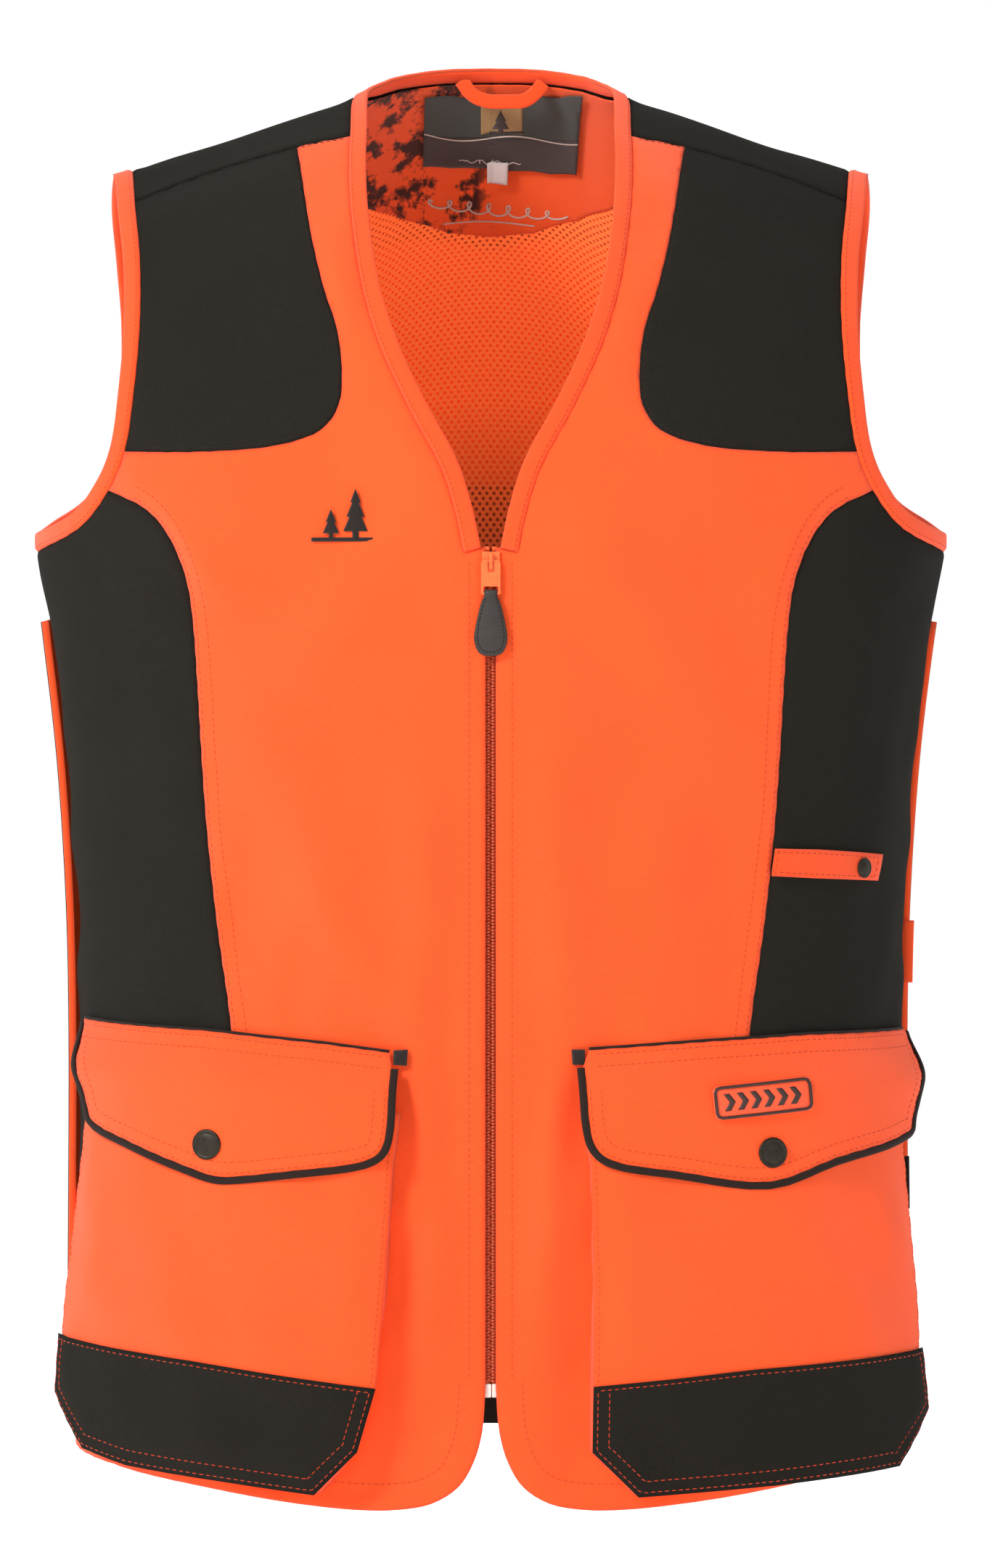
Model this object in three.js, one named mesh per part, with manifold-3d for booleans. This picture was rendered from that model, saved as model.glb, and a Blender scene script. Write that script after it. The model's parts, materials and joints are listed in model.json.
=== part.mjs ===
// Blaze orange hunting vest, size M, hollow, as it hangs on a body.
// Millimetres. +Z up, the front faces -Y, +X is the wearer's left.
// Origin: between the two neck points, on the line that runs over the shoulders.

import * as THREE from "three";
import { mergeVertices } from "three/addons/utils/BufferGeometryUtils.js";
import Module from "manifold-3d";

const wasm = await Module();
wasm.setup();

// ---------- driving dimensions ----------

// body of the vest
const chestHalfWidth = 226;      // half the width under the arms
const frontLength = 698;         // neck point to the lowest point of the front hem
const frontDepth = 118;          // shoulder line to the chest
const backDepth = 120;           // shoulder line to the middle of the back
const squareness = 0.25;         // 0 gives a plain oval section, more gives a boxier one
const chestLine = -225;          // below it the sections are level, above it they close to the shoulders
const clothThickness = 1.6;      // outer cloth
const seamGap = 0.4;             // space left between two pieces along a seam
const liningDepth = 3.2;         // outer cloth's face to the lining
const liningThickness = 1;
const bindingWidth = 8.5;
const bindingRise = 0.6;         // how far a binding stands above the cloth
const bindingThickness = 3;
const backSeamAngle = 105;       // degrees round the body from the middle of the front

// front zip
const zipTop = -228;
const zipBottom = -636;
const plackGap = 2.5;            // middle of the zip to the folded edge of the cloth
const coilWidth = 2.3;
const coilThickness = 2.2;
const coilGap = 0.7;             // middle of the zip to a coil
const coilDepth = 2.4;           // cloth's face to the coil
const tapeWidth = 13;
const tapeThickness = 0.5;
const sliderLength = 11;
const sliderWidth = 8.6;
const sliderPlate = 1.2;
const sliderWeb = 0.7;
const runClear = 0.4;            // running clearance round the slider
const archWidth = 1.6;
const archBar = 1;
const archOpening = 5.8;         // along the zip
const archHeight = 1.8;
const tabWidth = 9.5;
const tabThickness = 1;
const tabBar = 1.1;
const tabDrop = 16;              // the tab's pivot to the leather's pivot
const leatherWidth = 16.4;
const leatherLength = 30.5;      // below its pivot
const leatherThickness = 2.8;
const leatherNeck = 6.6;

// cargo pockets and their flaps
const pocketDepth = 18;          // cloth's face to the pocket's outer face, at the bottom
const mouthDepth = 8.5;          // the same at the mouth
const pocketSlope = 120;         // the pocket fills out over this height
const patchRise = 1;             // pocket face to the reinforcement
const patchThickness = 1;
const mouthDrop = 30;            // flap seam to the pocket's mouth
const flapRise = 1.3 + 0.3474 * (pocketDepth - mouthDepth);   // mouth to the flap, which clears the swelling face
const flapSeamRise = 1.6;        // cloth's face to the flap at its seam
const flapThickness = 1.4;
const flapSlope = 27;            // the flap comes forward over this length
const pipingWidth = 3.8;
const pipingRise = 0.5;
const snapDiameter = 15;
const snapThickness = 1.6;
const studDiameter = 4;
const studSeat = (pocketDepth - mouthDepth) / 19;   // the pocket's face slopes under the stud
const socketDiameter = 11;
const socketThickness = 1.2;

// small pieces
const strapRise = 2;
const strapThickness = 1;
const strapSnap = 10;
const loopThickness = 1.2;
const loopTop = 8;
const labelThickness = 0.5;
const gamePocketRise = 2.4;      // back's face to the game pocket
const gamePocketFlare = { right: 6, left: 0.5 };
const gamePocketAngle = { right: 91.5, left: 97 };
const edgeTape = 4;

// facets of a curved piece: how many round half the body, and their height
const clothFacets = [20, 50];
const liningFacets = [12, 70];
const smallFacets = [32, 26];

// ---------- shape of the body ----------

const patternHalfWidth = 226;    // the outlines below are drawn for these two sizes
const patternLength = 698;
const widthGrade = chestHalfWidth / patternHalfWidth;
const lengthGrade = frontLength / patternLength;
const roundness = 170 * widthGrade;          // mm of chart for one radian round the body
const climb = 200 * lengthGrade;             // mm of chart for one radian over the shoulder
const ridgeLine = chestLine * lengthGrade + climb * Math.PI / 2;

// A smooth line through points, read at any place along its first number.
function lineThrough(points) {
  const slope = points.map((p, i) => {
    const a = points[Math.max(0, i - 1)];
    const b = points[Math.min(points.length - 1, i + 1)];
    return (b[1] - a[1]) / (b[0] - a[0]);
  });
  return (x) => {
    const at = THREE.MathUtils.clamp(x, points[0][0], points[points.length - 1][0]);
    let i = 0;
    while (i < points.length - 2 && at > points[i + 1][0]) i += 1;
    const [x0, y0] = points[i];
    const [x1, y1] = points[i + 1];
    const h = x1 - x0;
    const t = (at - x0) / h;
    const m0 = slope[i] * h;
    const m1 = slope[i + 1] * h;
    return y0 + t * (m0 + t * (3 * (y1 - y0) - 2 * m0 - m1 + t * (2 * (y0 - y1) + m0 + m1)));
  };
}

// half width of the body by height, and height of the shoulder by distance from the middle
const halfWidthAt = lineThrough([
  [-720, 207], [-560, 204], [-430, 204], [-340, 209], [-270, 217.5], [-225, 225.5], [-180, 226], [40, 226],
]);
const shoulderAt = lineThrough([
  [0, 31], [24, 26], [46, 14.5], [62, 0.5], [90, -10.5], [135, -26], [175, -38], [226, -52],
]);

// The chart: s runs round the body, v runs up it and over the shoulder.
function bodyPoint(s, v) {
  const round = s / roundness;
  const level = chestLine * lengthGrade;
  const over = Math.max(0, v - level) / climb;
  const half = halfWidthAt(Math.min(v, level) / lengthGrade) * widthGrade;
  const x = half * Math.sin(round);
  const facing = Math.cos(round) * Math.cos(over);
  const depth = facing > 0 ? frontDepth : backDepth;
  const y = -depth * facing * (1 + squareness * Math.sin(round) ** 2);
  const top = shoulderAt(Math.abs(x) / widthGrade) * lengthGrade;
  const z = v < level ? v : level + Math.sin(over) * (top - level);
  return new THREE.Vector3(x, y, z);
}

function slopes(s, v) {
  const step = 0.02;
  const alongS = bodyPoint(s + step, v).sub(bodyPoint(s - step, v)).divideScalar(2 * step);
  const alongV = bodyPoint(s, v + step).sub(bodyPoint(s, v - step)).divideScalar(2 * step);
  return { alongS, alongV, out: alongS.clone().cross(alongV).normalize() };
}

// g is the height above the cloth's outer face
function onBody(s, v, g) {
  return bodyPoint(s, v).addScaledVector(slopes(s, v).out, g);
}

// chart place of a point seen from the front, g above the face
function front(x, z, g = 0) {
  const level = chestLine * lengthGrade;
  const wanted = [x * widthGrade, z * lengthGrade];
  const aim = [...wanted];
  let place = [0, 0];
  for (let turn = 0; turn < (g === 0 ? 1 : 8); turn += 1) {
    const half = halfWidthAt(Math.min(aim[1], level) / lengthGrade) * widthGrade;
    const s = roundness * Math.asin(THREE.MathUtils.clamp(aim[0] / half, -0.9995, 0.9995));
    const top = shoulderAt(Math.abs(aim[0]) / widthGrade) * lengthGrade;
    const rise = THREE.MathUtils.clamp((aim[1] - level) / (top - level), -1, 1);
    place = [s, aim[1] < level ? aim[1] : level + climb * Math.asin(rise)];
    const now = onBody(place[0], place[1], g);
    aim[0] += wanted[0] - now.x;
    aim[1] += wanted[1] - now.z;
  }
  return place;
}

const halfTurn = Math.PI * roundness;
const mirrored = ([s, v]) => [-s, v];
const overTop = ([s, v]) => [halfTurn - s, 2 * ridgeLine - v];   // same point, reached over the shoulder
const roundBack = ([s, v]) => [2 * halfTurn - s, v];             // mirror image, seen from the back
const back = (x, z, g = 0) => {
  const [s, v] = front(x, z, g);
  return [halfTurn - s, v];
};
const side = (degrees, z) => {
  const s = roundness * THREE.MathUtils.degToRad(degrees);
  return [s, front(chestHalfWidth * Math.min(1, Math.sin(s / roundness)) / widthGrade * 0.999, z)[1]];
};

// a smooth chart line through control points, with the same number of steps between each two
function smooth(points, steps) {
  const curve = new THREE.CatmullRomCurve3(points.map(([s, v]) => new THREE.Vector3(s, v, 0)), false, "centripetal");
  const count = (points.length - 1) * steps;
  return Array.from({ length: count + 1 }, (unused, i) => {
    const p = curve.getPoint(i / count);
    return [p.x, p.y];
  });
}

// the line moved sideways on the body; a positive distance goes to its right
function shifted(line, distance, closed = false) {
  return line.map(([s, v], i) => {
    const before = line[i > 0 ? i - 1 : (closed ? line.length - 1 : 0)];
    const after = line[i < line.length - 1 ? i + 1 : (closed ? 0 : i)];
    const { alongS, alongV, out } = slopes(s, v);
    const run = alongS.clone().multiplyScalar(after[0] - before[0]);
    run.addScaledVector(alongV, after[1] - before[1]).normalize();
    const across = run.cross(out).multiplyScalar(distance);
    const a = alongS.dot(alongS);
    const b = alongS.dot(alongV);
    const c = alongV.dot(alongV);
    const p = across.dot(alongS);
    const q = across.dot(alongV);
    const det = a * c - b * b;
    return [s + (p * c - q * b) / det, v + (q * a - p * b) / det];
  });
}

function withoutRepeats(line, apart = 0.5) {
  return line.filter(([s, v], i) => {
    const [ps, pv] = line[(i + line.length - 1) % line.length];
    return Math.hypot(s - ps, v - pv) > apart;
  });
}

function inset(outline, distance) {
  const line = withoutRepeats(outline);
  const area = THREE.ShapeUtils.area(line.map(([s, v]) => new THREE.Vector2(s, v)));
  const turn = area > 0 ? 1 : -1;
  return line.map((p, i) => {
    const before = line[(i + line.length - 1) % line.length];
    const after = line[(i + 1) % line.length];
    const a = new THREE.Vector2(p[0] - before[0], p[1] - before[1]).normalize();
    const b = new THREE.Vector2(after[0] - p[0], after[1] - p[1]).normalize();
    const sum = new THREE.Vector2(-a.y - b.y, a.x + b.x);
    const reach = distance * turn * 2 / Math.max(0.5, sum.lengthSq());
    return [p[0] + sum.x * reach, p[1] + sum.y * reach];
  });
}

// ---------- making solids ----------

function bare(geometry) {
  const plain = geometry.clone();
  ["normal", "uv"].forEach((name) => plain.deleteAttribute(name));
  return mergeVertices(plain, 1e-3);
}

// cuts a simple outline along a line of the chart (axis 0: s, axis 1: v) into its parts on both sides
function divided(outline, axis, value) {
  const beyond = (p) => p[axis] >= value;
  const marked = [];
  outline.forEach((p, i) => {
    const q = outline[(i + 1) % outline.length];
    marked.push({ p });
    if (beyond(p) === beyond(q)) return;
    const t = (value - p[axis]) / (q[axis] - p[axis]);
    const other = p[1 - axis] + t * (q[1 - axis] - p[1 - axis]);
    marked.push({ p: axis === 0 ? [value, other] : [other, value], crossing: true });
  });
  const crossings = marked.filter((m) => m.crossing).sort((a, b) => a.p[1 - axis] - b.p[1 - axis]);
  if (crossings.length === 0) return [outline];
  crossings.forEach((m, i) => { m.partner = crossings[i % 2 === 0 ? i + 1 : i - 1]; });
  const parts = [];
  marked.forEach((start, first) => {
    if (start.crossing || start.used) return;
    const part = [];
    let i = first;
    do {
      const m = marked[i];
      part.push(m.p);
      m.used = true;
      if (m.crossing) {
        part.push(m.partner.p);
        i = marked.indexOf(m.partner);
      }
      i = (i + 1) % marked.length;
    } while (i !== first);
    parts.push(withoutRepeats(part, 1e-4));
  });
  return parts.filter((part) => part.length > 2);
}

// a height above the cloth is a number, or a function of the place
const heightAt = (height, place) => (typeof height === "function" ? height(...place) : height);

// a curved plate: its outline is in the chart, its faces are at two heights above the cloth
function plate(outline, inner, outer, facets = clothFacets) {
  let parts = [inset(outline, seamGap / 2)];
  const cell = [halfTurn / facets[0], facets[1] * lengthGrade];
  const middle = [0, ridgeLine];
  [0, 1].forEach((axis) => {
    const reach = parts.flat().map((p) => (p[axis] - middle[axis]) / cell[axis]);
    const last = Math.max(...reach);
    for (let line = Math.floor(Math.min(...reach)) + 0.5; line < last; line += 1) {
      parts = parts.flatMap((part) => divided(part, axis, middle[axis] + line * cell[axis]));
    }
  });
  const known = new Map();
  const places = [];
  const numberOf = (p) => {
    const key = `${Math.round(p[0] * 1e3)},${Math.round(p[1] * 1e3)}`;
    if (!known.has(key)) known.set(key, places.push(p) - 1);
    return known.get(key);
  };
  const top = parts.flatMap((part) => {
    const corners = part.map(([s, v]) => new THREE.Vector2(s, v));
    return THREE.ShapeUtils.triangulateShape(corners, []).map((face) => {
      const ccw = THREE.ShapeUtils.area(face.map((k) => corners[k])) > 0;
      return (ccw ? face : [...face].reverse()).map((k) => numberOf(part[k]));
    });
  }).filter(([a, b, c]) => a !== b && b !== c && c !== a);
  const edges = new Set(top.flatMap(([a, b, c]) => [`${a} ${b}`, `${b} ${c}`, `${c} ${a}`]));
  const under = places.length;
  const faces = top.flatMap(([a, b, c]) => [a, b, c, under + a, under + c, under + b]);
  edges.forEach((edge) => {
    const [a, b] = edge.split(" ").map(Number);
    if (!edges.has(`${b} ${a}`)) faces.push(under + a, under + b, b, under + a, b, a);
  });
  const corners = [outer, inner].flatMap((height) => places.map((p) => onBody(...p, heightAt(height, p))));
  return solidOf(corners, faces);
}

function solidOf(corners, faces) {
  const solid = new THREE.BufferGeometry();
  solid.setAttribute("position", new THREE.Float32BufferAttribute(corners.flatMap((p) => p.toArray()), 3));
  solid.setIndex(faces);
  return solid;
}

// a band between two chart lines; a closed one joins its last ring to its first
function band(edge, otherEdge, inner, outer, closed = false) {
  const count = closed ? edge.length - 1 : edge.length;
  const corners = [];
  for (let i = 0; i < count; i += 1) {
    const [a, b] = [edge[i], otherEdge[i]];
    corners.push(onBody(...a, heightAt(inner, a)), onBody(...b, heightAt(inner, b)));
    corners.push(onBody(...b, heightAt(outer, b)), onBody(...a, heightAt(outer, a)));
  }
  const faces = [];
  const rings = closed ? count : count - 1;
  for (let i = 0; i < rings; i += 1) {
    for (let k = 0; k < 4; k += 1) {
      const a = 4 * i + k;
      const b = 4 * i + (k + 1) % 4;
      const c = 4 * ((i + 1) % count) + k;
      const d = 4 * ((i + 1) % count) + (k + 1) % 4;
      faces.push(a, b, d, a, d, c);
    }
  }
  if (!closed) {
    const last = 4 * (count - 1);
    faces.push(0, 3, 2, 0, 2, 1, last, last + 1, last + 2, last, last + 2, last + 3);
  }
  return solidOf(corners, outward(corners, faces));
}

// turns the faces over if together they enclose a negative volume
function outward(corners, faces) {
  let volume = 0;
  for (let i = 0; i < faces.length; i += 3) {
    const [a, b, c] = faces.slice(i, i + 3).map((k) => corners[k]);
    volume += a.dot(b.clone().cross(c));
  }
  return volume > 0 ? faces : [...faces].reverse();
}

// an outline in the X-Y plane pushed along Z
function pushed(points, depth, holes = []) {
  const shape = new THREE.Shape(points.map(([x, y]) => new THREE.Vector2(x, y)));
  holes.forEach((hole) => shape.holes.push(new THREE.Path(hole.map(([x, y]) => new THREE.Vector2(x, y)))));
  return new THREE.ExtrudeGeometry(shape, { depth, bevelEnabled: false });
}

const rectangle = (x0, y0, x1, y1) => [[x0, y0], [x1, y0], [x1, y1], [x0, y1]];

// a turned disc lying on the body, its lower face g above the cloth
function disc(profile, sides, place, g) {
  const turned = bare(new THREE.LatheGeometry(profile.map(([r, h]) => new THREE.Vector2(r, h)), sides));
  const centre = onBody(place[0], place[1], g);
  const aim = new THREE.Quaternion().setFromUnitVectors(new THREE.Vector3(0, 1, 0), slopes(...place).out);
  turned.applyQuaternion(aim);
  turned.translate(centre.x, centre.y, centre.z);
  return turned;
}

// ---------- pieces ----------

const vest = new THREE.Group();

const finishes = {
  orange: { color: 0xff6a2e, roughness: 0.85, metalness: 0 },
  bindingOrange: { color: 0xff5c20, roughness: 0.75, metalness: 0 },
  lining: { color: 0xf0601f, roughness: 0.9, metalness: 0 },
  twill: { color: 0x2c2c28, roughness: 0.9, metalness: 0 },
  piping: { color: 0x33261f, roughness: 0.8, metalness: 0 },
  coil: { color: 0xa8452a, roughness: 0.6, metalness: 0 },
  metal: { color: 0xf2682f, roughness: 0.45, metalness: 0.3 },
  leather: { color: 0x46372a, roughness: 0.6, metalness: 0 },
  snap: { color: 0x3d3f3a, roughness: 0.35, metalness: 0.8 },
  label: { color: 0x26332b, roughness: 0.8, metalness: 0 },
  white: { color: 0xeeeae4, roughness: 0.8, metalness: 0 },
};

function add(name, geometry, finish) {
  const mesh = new THREE.Mesh(bare(geometry), new THREE.MeshStandardMaterial(finishes[finish]));
  mesh.name = name;
  vest.add(mesh);
}

const sides = [{ name: "left", sign: 1 }, { name: "right", sign: -1 }];
const turnedTo = (line, sign) => (sign > 0 ? line : line.map(mirrored));

// ---------- seam lines on the wearer's left, mirrored for the right ----------

const armholeSteps = 2;
const armholeEdge = smooth([
  [front(187, -60)[0], ridgeLine],
  front(184.5, -58), front(181, -88), front(180.6, -119), front(183, -150), front(187, -178),
  front(193.5, -194), front(206, -210), side(90, -219), side(backSeamAngle, -212),
  back(200, -197), back(188, -165), back(185, -120), back(187, -85), back(189, -58),
  [halfTurn - front(187, -60)[0], ridgeLine],
], armholeSteps);
const armholeSeam = shifted(armholeEdge, bindingWidth);
const armholeStop = { shoulder: 1, patch: 5, sidePanel: 6, backSeam: 9, yoke: 13, ridge: 15 };
const armholePart = (from, to) => armholeSeam.slice(
  armholeStop[from] * armholeSteps,
  armholeStop[to] * armholeSteps + 1,
);

const neckSteps = 2;
const neckEdge = smooth([
  front(4.6, zipTop), front(9, -208), front(16, -186), front(32, -156), front(45, -128), front(54.5, -99),
  front(60.3, -62), front(61.6, -38), front(61.4, -21.5), [front(59, -30)[0], ridgeLine],
  overTop(back(46, 9)), overTop(back(24, 13)), overTop(back(0, 14)),
], neckSteps);
const neckSeam = shifted(neckEdge, bindingWidth);
const neckShoulder = 8 * neckSteps;

const shoulderSeam = smooth([
  neckSeam[neckShoulder], front(96, -28.5), front(136, -40), armholePart("shoulder", "shoulder")[0],
], 2);
const patchCorner = 2;
const patchEdge = smooth([
  shoulderSeam[patchCorner], front(89, -70), front(82, -100), front(75.5, -120), front(73, -140),
  front(74.5, -158), front(83, -170), front(104, -177.5), front(140, -180.5), armholePart("patch", "patch")[0],
], 2);
const sideSeam = smooth([
  armholePart("sidePanel", "sidePanel")[0], front(169, -209), front(157, -224), front(149.5, -243),
  front(146, -266), front(144, -295), front(142, -330), front(139, -370), front(134, -415), front(127, -466),
  front(123, -545),
], 1);
const backSeam = [
  armholePart("backSeam", "backSeam")[0], side(backSeamAngle, -236), side(backSeamAngle, -325),
  side(backSeamAngle, -415), side(backSeamAngle, -490), side(backSeamAngle, -545), side(backSeamAngle, -610),
  side(backSeamAngle, -668),
];
const sideBottom = 5;
const sideHem = [sideSeam[sideSeam.length - 1], front(170, -545), side(85, -545), backSeam[sideBottom]];
const frontHem = [backSeam[backSeam.length - 1], side(88, -671)].concat(smooth([
  front(186, -678), front(150, -686), front(100, -694.5), front(66, -698), front(46, -698), front(29, -695),
  front(16, -687), front(8.5, -675), front(4.2, -660), front(plackGap, -638),
], 1));
const backHem = [backSeam[backSeam.length - 1], back(150, -667), back(75, -666), back(0, -666)];
const yokeSeam = [armholePart("yoke", "yoke")[0], back(140, -82), back(70, -75), back(0, -74)];
const lowerSeam = [backSeam[1], back(205, -226), back(185, -212), back(140, -199), back(70, -194), back(0, -193)];

// ---------- outer cloth ----------

const cloth = (outline) => plate(outline, -clothThickness, 0);

for (const { name, sign } of sides) {
  const frontPanel = [
    ...shoulderSeam.slice(0, patchCorner + 1), ...patchEdge, ...armholePart("patch", "sidePanel"), ...sideSeam,
    ...sideHem, ...backSeam.slice(sideBottom), ...frontHem,
    front(plackGap, -440), front(plackGap, zipTop), neckEdge[0], ...neckSeam.slice(0, neckShoulder),
  ];
  add(`front_panel_${name}`, cloth(turnedTo(frontPanel, sign)), "orange");

  const shoulderPatch = [
    ...shoulderSeam.slice(patchCorner), ...armholePart("shoulder", "patch"), ...[...patchEdge].reverse(),
  ];
  add(`shoulder_patch_${name}`, cloth(turnedTo(shoulderPatch, sign)), "twill");

  const sidePanel = [
    ...armholePart("sidePanel", "backSeam"), ...backSeam.slice(0, sideBottom + 1),
    ...[...sideHem].reverse(), ...[...sideSeam].reverse(),
  ];
  add(`side_panel_${name}`, cloth(turnedTo(sidePanel, sign)), "twill");

  const armhole = band(
    turnedTo(armholeEdge, sign),
    turnedTo(shifted(armholeEdge, bindingWidth - seamGap), sign),
    bindingRise - bindingThickness,
    bindingRise,
    true,
  );
  add(`armhole_binding_${name}`, armhole, "bindingOrange");
}

const bothSides = (half) => [...half, ...[...half].reverse().map(roundBack)];
const upperBack = [...[...lowerSeam].reverse(), backSeam[0], ...armholePart("backSeam", "yoke"), ...yokeSeam];
add("back_panel", cloth(bothSides(upperBack)), "orange");
const lowerBack = [...[...backHem].reverse(), ...[...backSeam.slice(1)].reverse(), ...lowerSeam];
add("lower_back_panel", cloth(bothSides(lowerBack)), "twill");

const halfYoke = [
  ...[...neckSeam.slice(neckShoulder)].reverse(), ...shoulderSeam, ...armholeSeam.slice(0, armholeSteps).reverse(),
  ...[...armholePart("yoke", "ridge")].reverse().map(overTop), ...yokeSeam.map(overTop),
];
add("shoulder_yoke", cloth([...halfYoke, ...[...halfYoke].reverse().map(mirrored)]), "twill");

const wholeNeck = (line) => [...line, ...[...line].reverse().slice(1).map(mirrored)];
const neckInner = shifted(neckEdge, bindingWidth - seamGap);
neckInner[neckInner.length - 1][0] = 0;
const neckBinding = band(
  wholeNeck(neckEdge),
  wholeNeck(neckInner),
  bindingRise - bindingThickness,
  bindingRise,
);
add("neck_binding", neckBinding, "bindingOrange");

// ---------- inside ----------

const liningFace = -liningDepth;
const liningBack = -liningDepth - liningThickness;
const insideCloth = (outline) => plate(outline, liningBack, liningFace, liningFacets);
const liningArmhole = shifted(armholeEdge, bindingWidth + 3);
const liningPart = (from, to) => liningArmhole.slice(from * armholeSteps, to * armholeSteps + 1);

const facingTop = shifted(neckEdge, bindingWidth + 1.5).slice(9 * neckSteps);
facingTop[0][1] = ridgeLine;
const halfFacing = [
  ...[...facingTop].reverse().map(overTop),
  back(70, -18), back(68, -50), back(45, -58.5), back(22, -65), back(0, -67),
];
const facingFace = liningFace - 0.6;
const facingBack = facingFace - liningThickness;
const facing = plate(bothSides(halfFacing), facingBack, facingFace);
add("neck_facing", facing, "orange");

const liningHem = -652;
const halfLining = [
  back(0, liningHem), back(75, liningHem), side(100, liningHem), ...liningPart(9, 14), back(90, -38),
  back(74, -44), back(72, -54), back(46, -62.5), back(23, -69), back(0, -71),
];
add("lining_back", insideCloth(bothSides(halfLining)), "lining");

for (const { name, sign } of sides) {
  const halfFront = [
    front(20, -240), front(26, -204), front(43, -156), front(56, -128), front(66, -99), front(74, -60),
    front(90, -42), ...liningPart(1, 8), side(98.5, -240), side(98.5, liningHem), front(186, -664),
    front(100, -682), front(50, -686), front(24, -674), front(20, -640),
  ];
  add(`lining_${name}`, insideCloth(turnedTo(halfFront, sign)), "lining");
}

const labelFace = facingBack - 2;
const labelOutline = [
  [-33, -1], [-10, -1], [13, -1], [34, -1], [46, -1], [43, -38], [30, -37.5], [5, -36], [-20, -34.5], [-34, -34],
].map(([x, z]) => back(x, z, labelFace));
add("neck_label", plate(labelOutline, labelFace - labelThickness, labelFace), "label");
const sizeOutline = [[-2, -31], [9, -31], [8.5, -42], [-2, -41]].map(([x, z]) => back(x, z, labelFace));
const sizeFace = labelFace - labelThickness - 1.6;
add("size_label", plate(sizeOutline, sizeFace - labelThickness, sizeFace), "white");

// the loop hangs straight down from the back of the neck, clear of the facing
const loopOutline = [
  [-19, loopTop], [-15, 2.5], [-8.5, -5], [-6, -6.5], [16.5, -6.5], [19, -5], [26, 1.5], [30.5, loopTop - 1.5],
  [21.5, loopTop - 1], [14.5, 1.5], [-3.5, 1.5], [-10.5, loopTop],
];
const loopPlane = onBody(...back(24, loopTop + 3.5), liningBack).y - 2.5;
const loop = pushed(loopOutline, loopThickness);
loop.rotateX(Math.PI / 2);
loop.translate(0, loopPlane, 0);
add("hanging_loop", loop, "bindingOrange");

// ---------- front zip ----------

// a block by its ranges across the zip, out from the cloth's face and up
const block = ([x0, x1], [g0, g1], [z0, z1]) => {
  const box = new THREE.BoxGeometry(x1 - x0, g1 - g0, z1 - z0);
  return box.translate((x0 + x1) / 2, -frontDepth - (g0 + g1) / 2, (z0 + z1) / 2);
};
const onSide = ([a, b], sign) => (sign > 0 ? [a, b] : [-b, -a]);
// an outline across the zip and up it, as a sheet between two heights
const sheet = (outline, [g0, g1], holes) => {
  const piece = pushed(outline, g1 - g0, holes);
  return piece.rotateX(Math.PI / 2).translate(0, -frontDepth - g0, 0);
};

function asSolid(geometry) {
  const plain = bare(geometry);
  return new wasm.Manifold(new wasm.Mesh({
    numProp: 3,
    vertProperties: new Float32Array(plain.attributes.position.array),
    triVerts: new Uint32Array(plain.index.array),
  }));
}

function asGeometry(solid) {
  const mesh = solid.getMesh();
  const geometry = new THREE.BufferGeometry();
  geometry.setAttribute("position", new THREE.BufferAttribute(mesh.vertProperties, 3));
  geometry.setIndex(new THREE.BufferAttribute(mesh.triVerts, 1));
  return geometry;
}

const top = zipTop * lengthGrade;
const bottom = zipBottom * lengthGrade;
const coilHeights = [-coilDepth - coilThickness, -coilDepth];
const coilMiddle = -coilDepth - coilThickness / 2;
const coilRange = [coilGap, coilGap + coilWidth];
for (const { name, sign } of sides) {
  add(`zip_coil_${name}`, block(onSide(coilRange, sign), coilHeights, [bottom, top - 2]), "coil");
  const tapeRange = [coilRange[1] + 0.3, coilRange[1] + 0.3 + tapeWidth];
  const tapeHeights = [coilMiddle - tapeThickness / 2, coilMiddle + tapeThickness / 2];
  add(`zip_tape_${name}`, block(onSide(tapeRange, sign), tapeHeights, [bottom - 7, top - 1]), "bindingOrange");
  add(`zip_top_stop_${name}`, block(onSide(coilRange, sign), coilHeights, [top - 1.6, top + 0.6]), "metal");
}
add("zip_box", block([-coilRange[1], 0.3], coilHeights, [bottom - 7, bottom - 0.4]), "white");
add("zip_pin", block([coilGap, coilRange[1]], coilHeights, [bottom - 7, bottom - 0.4]), "white");

const sliderTop = top - 2;
const sliderFace = runClear + sliderPlate;
const sliderBack = coilHeights[0] - runClear - sliderPlate;
const halfSlider = sliderWidth / 2;
const sliderSection = [
  [-halfSlider, sliderBack], [halfSlider, sliderBack], [halfSlider, sliderBack + sliderPlate],
  [sliderWeb / 2, sliderBack + sliderPlate], [sliderWeb / 2, runClear], [halfSlider, runClear],
  [halfSlider, sliderFace], [-halfSlider, sliderFace], [-halfSlider, runClear], [-sliderWeb / 2, runClear],
  [-sliderWeb / 2, sliderBack + sliderPlate], [-halfSlider, sliderBack + sliderPlate],
].map(([x, g]) => [x, -frontDepth - g]);
const sliderBody = pushed(sliderSection, sliderLength).translate(0, 0, sliderTop - sliderLength);

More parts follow.
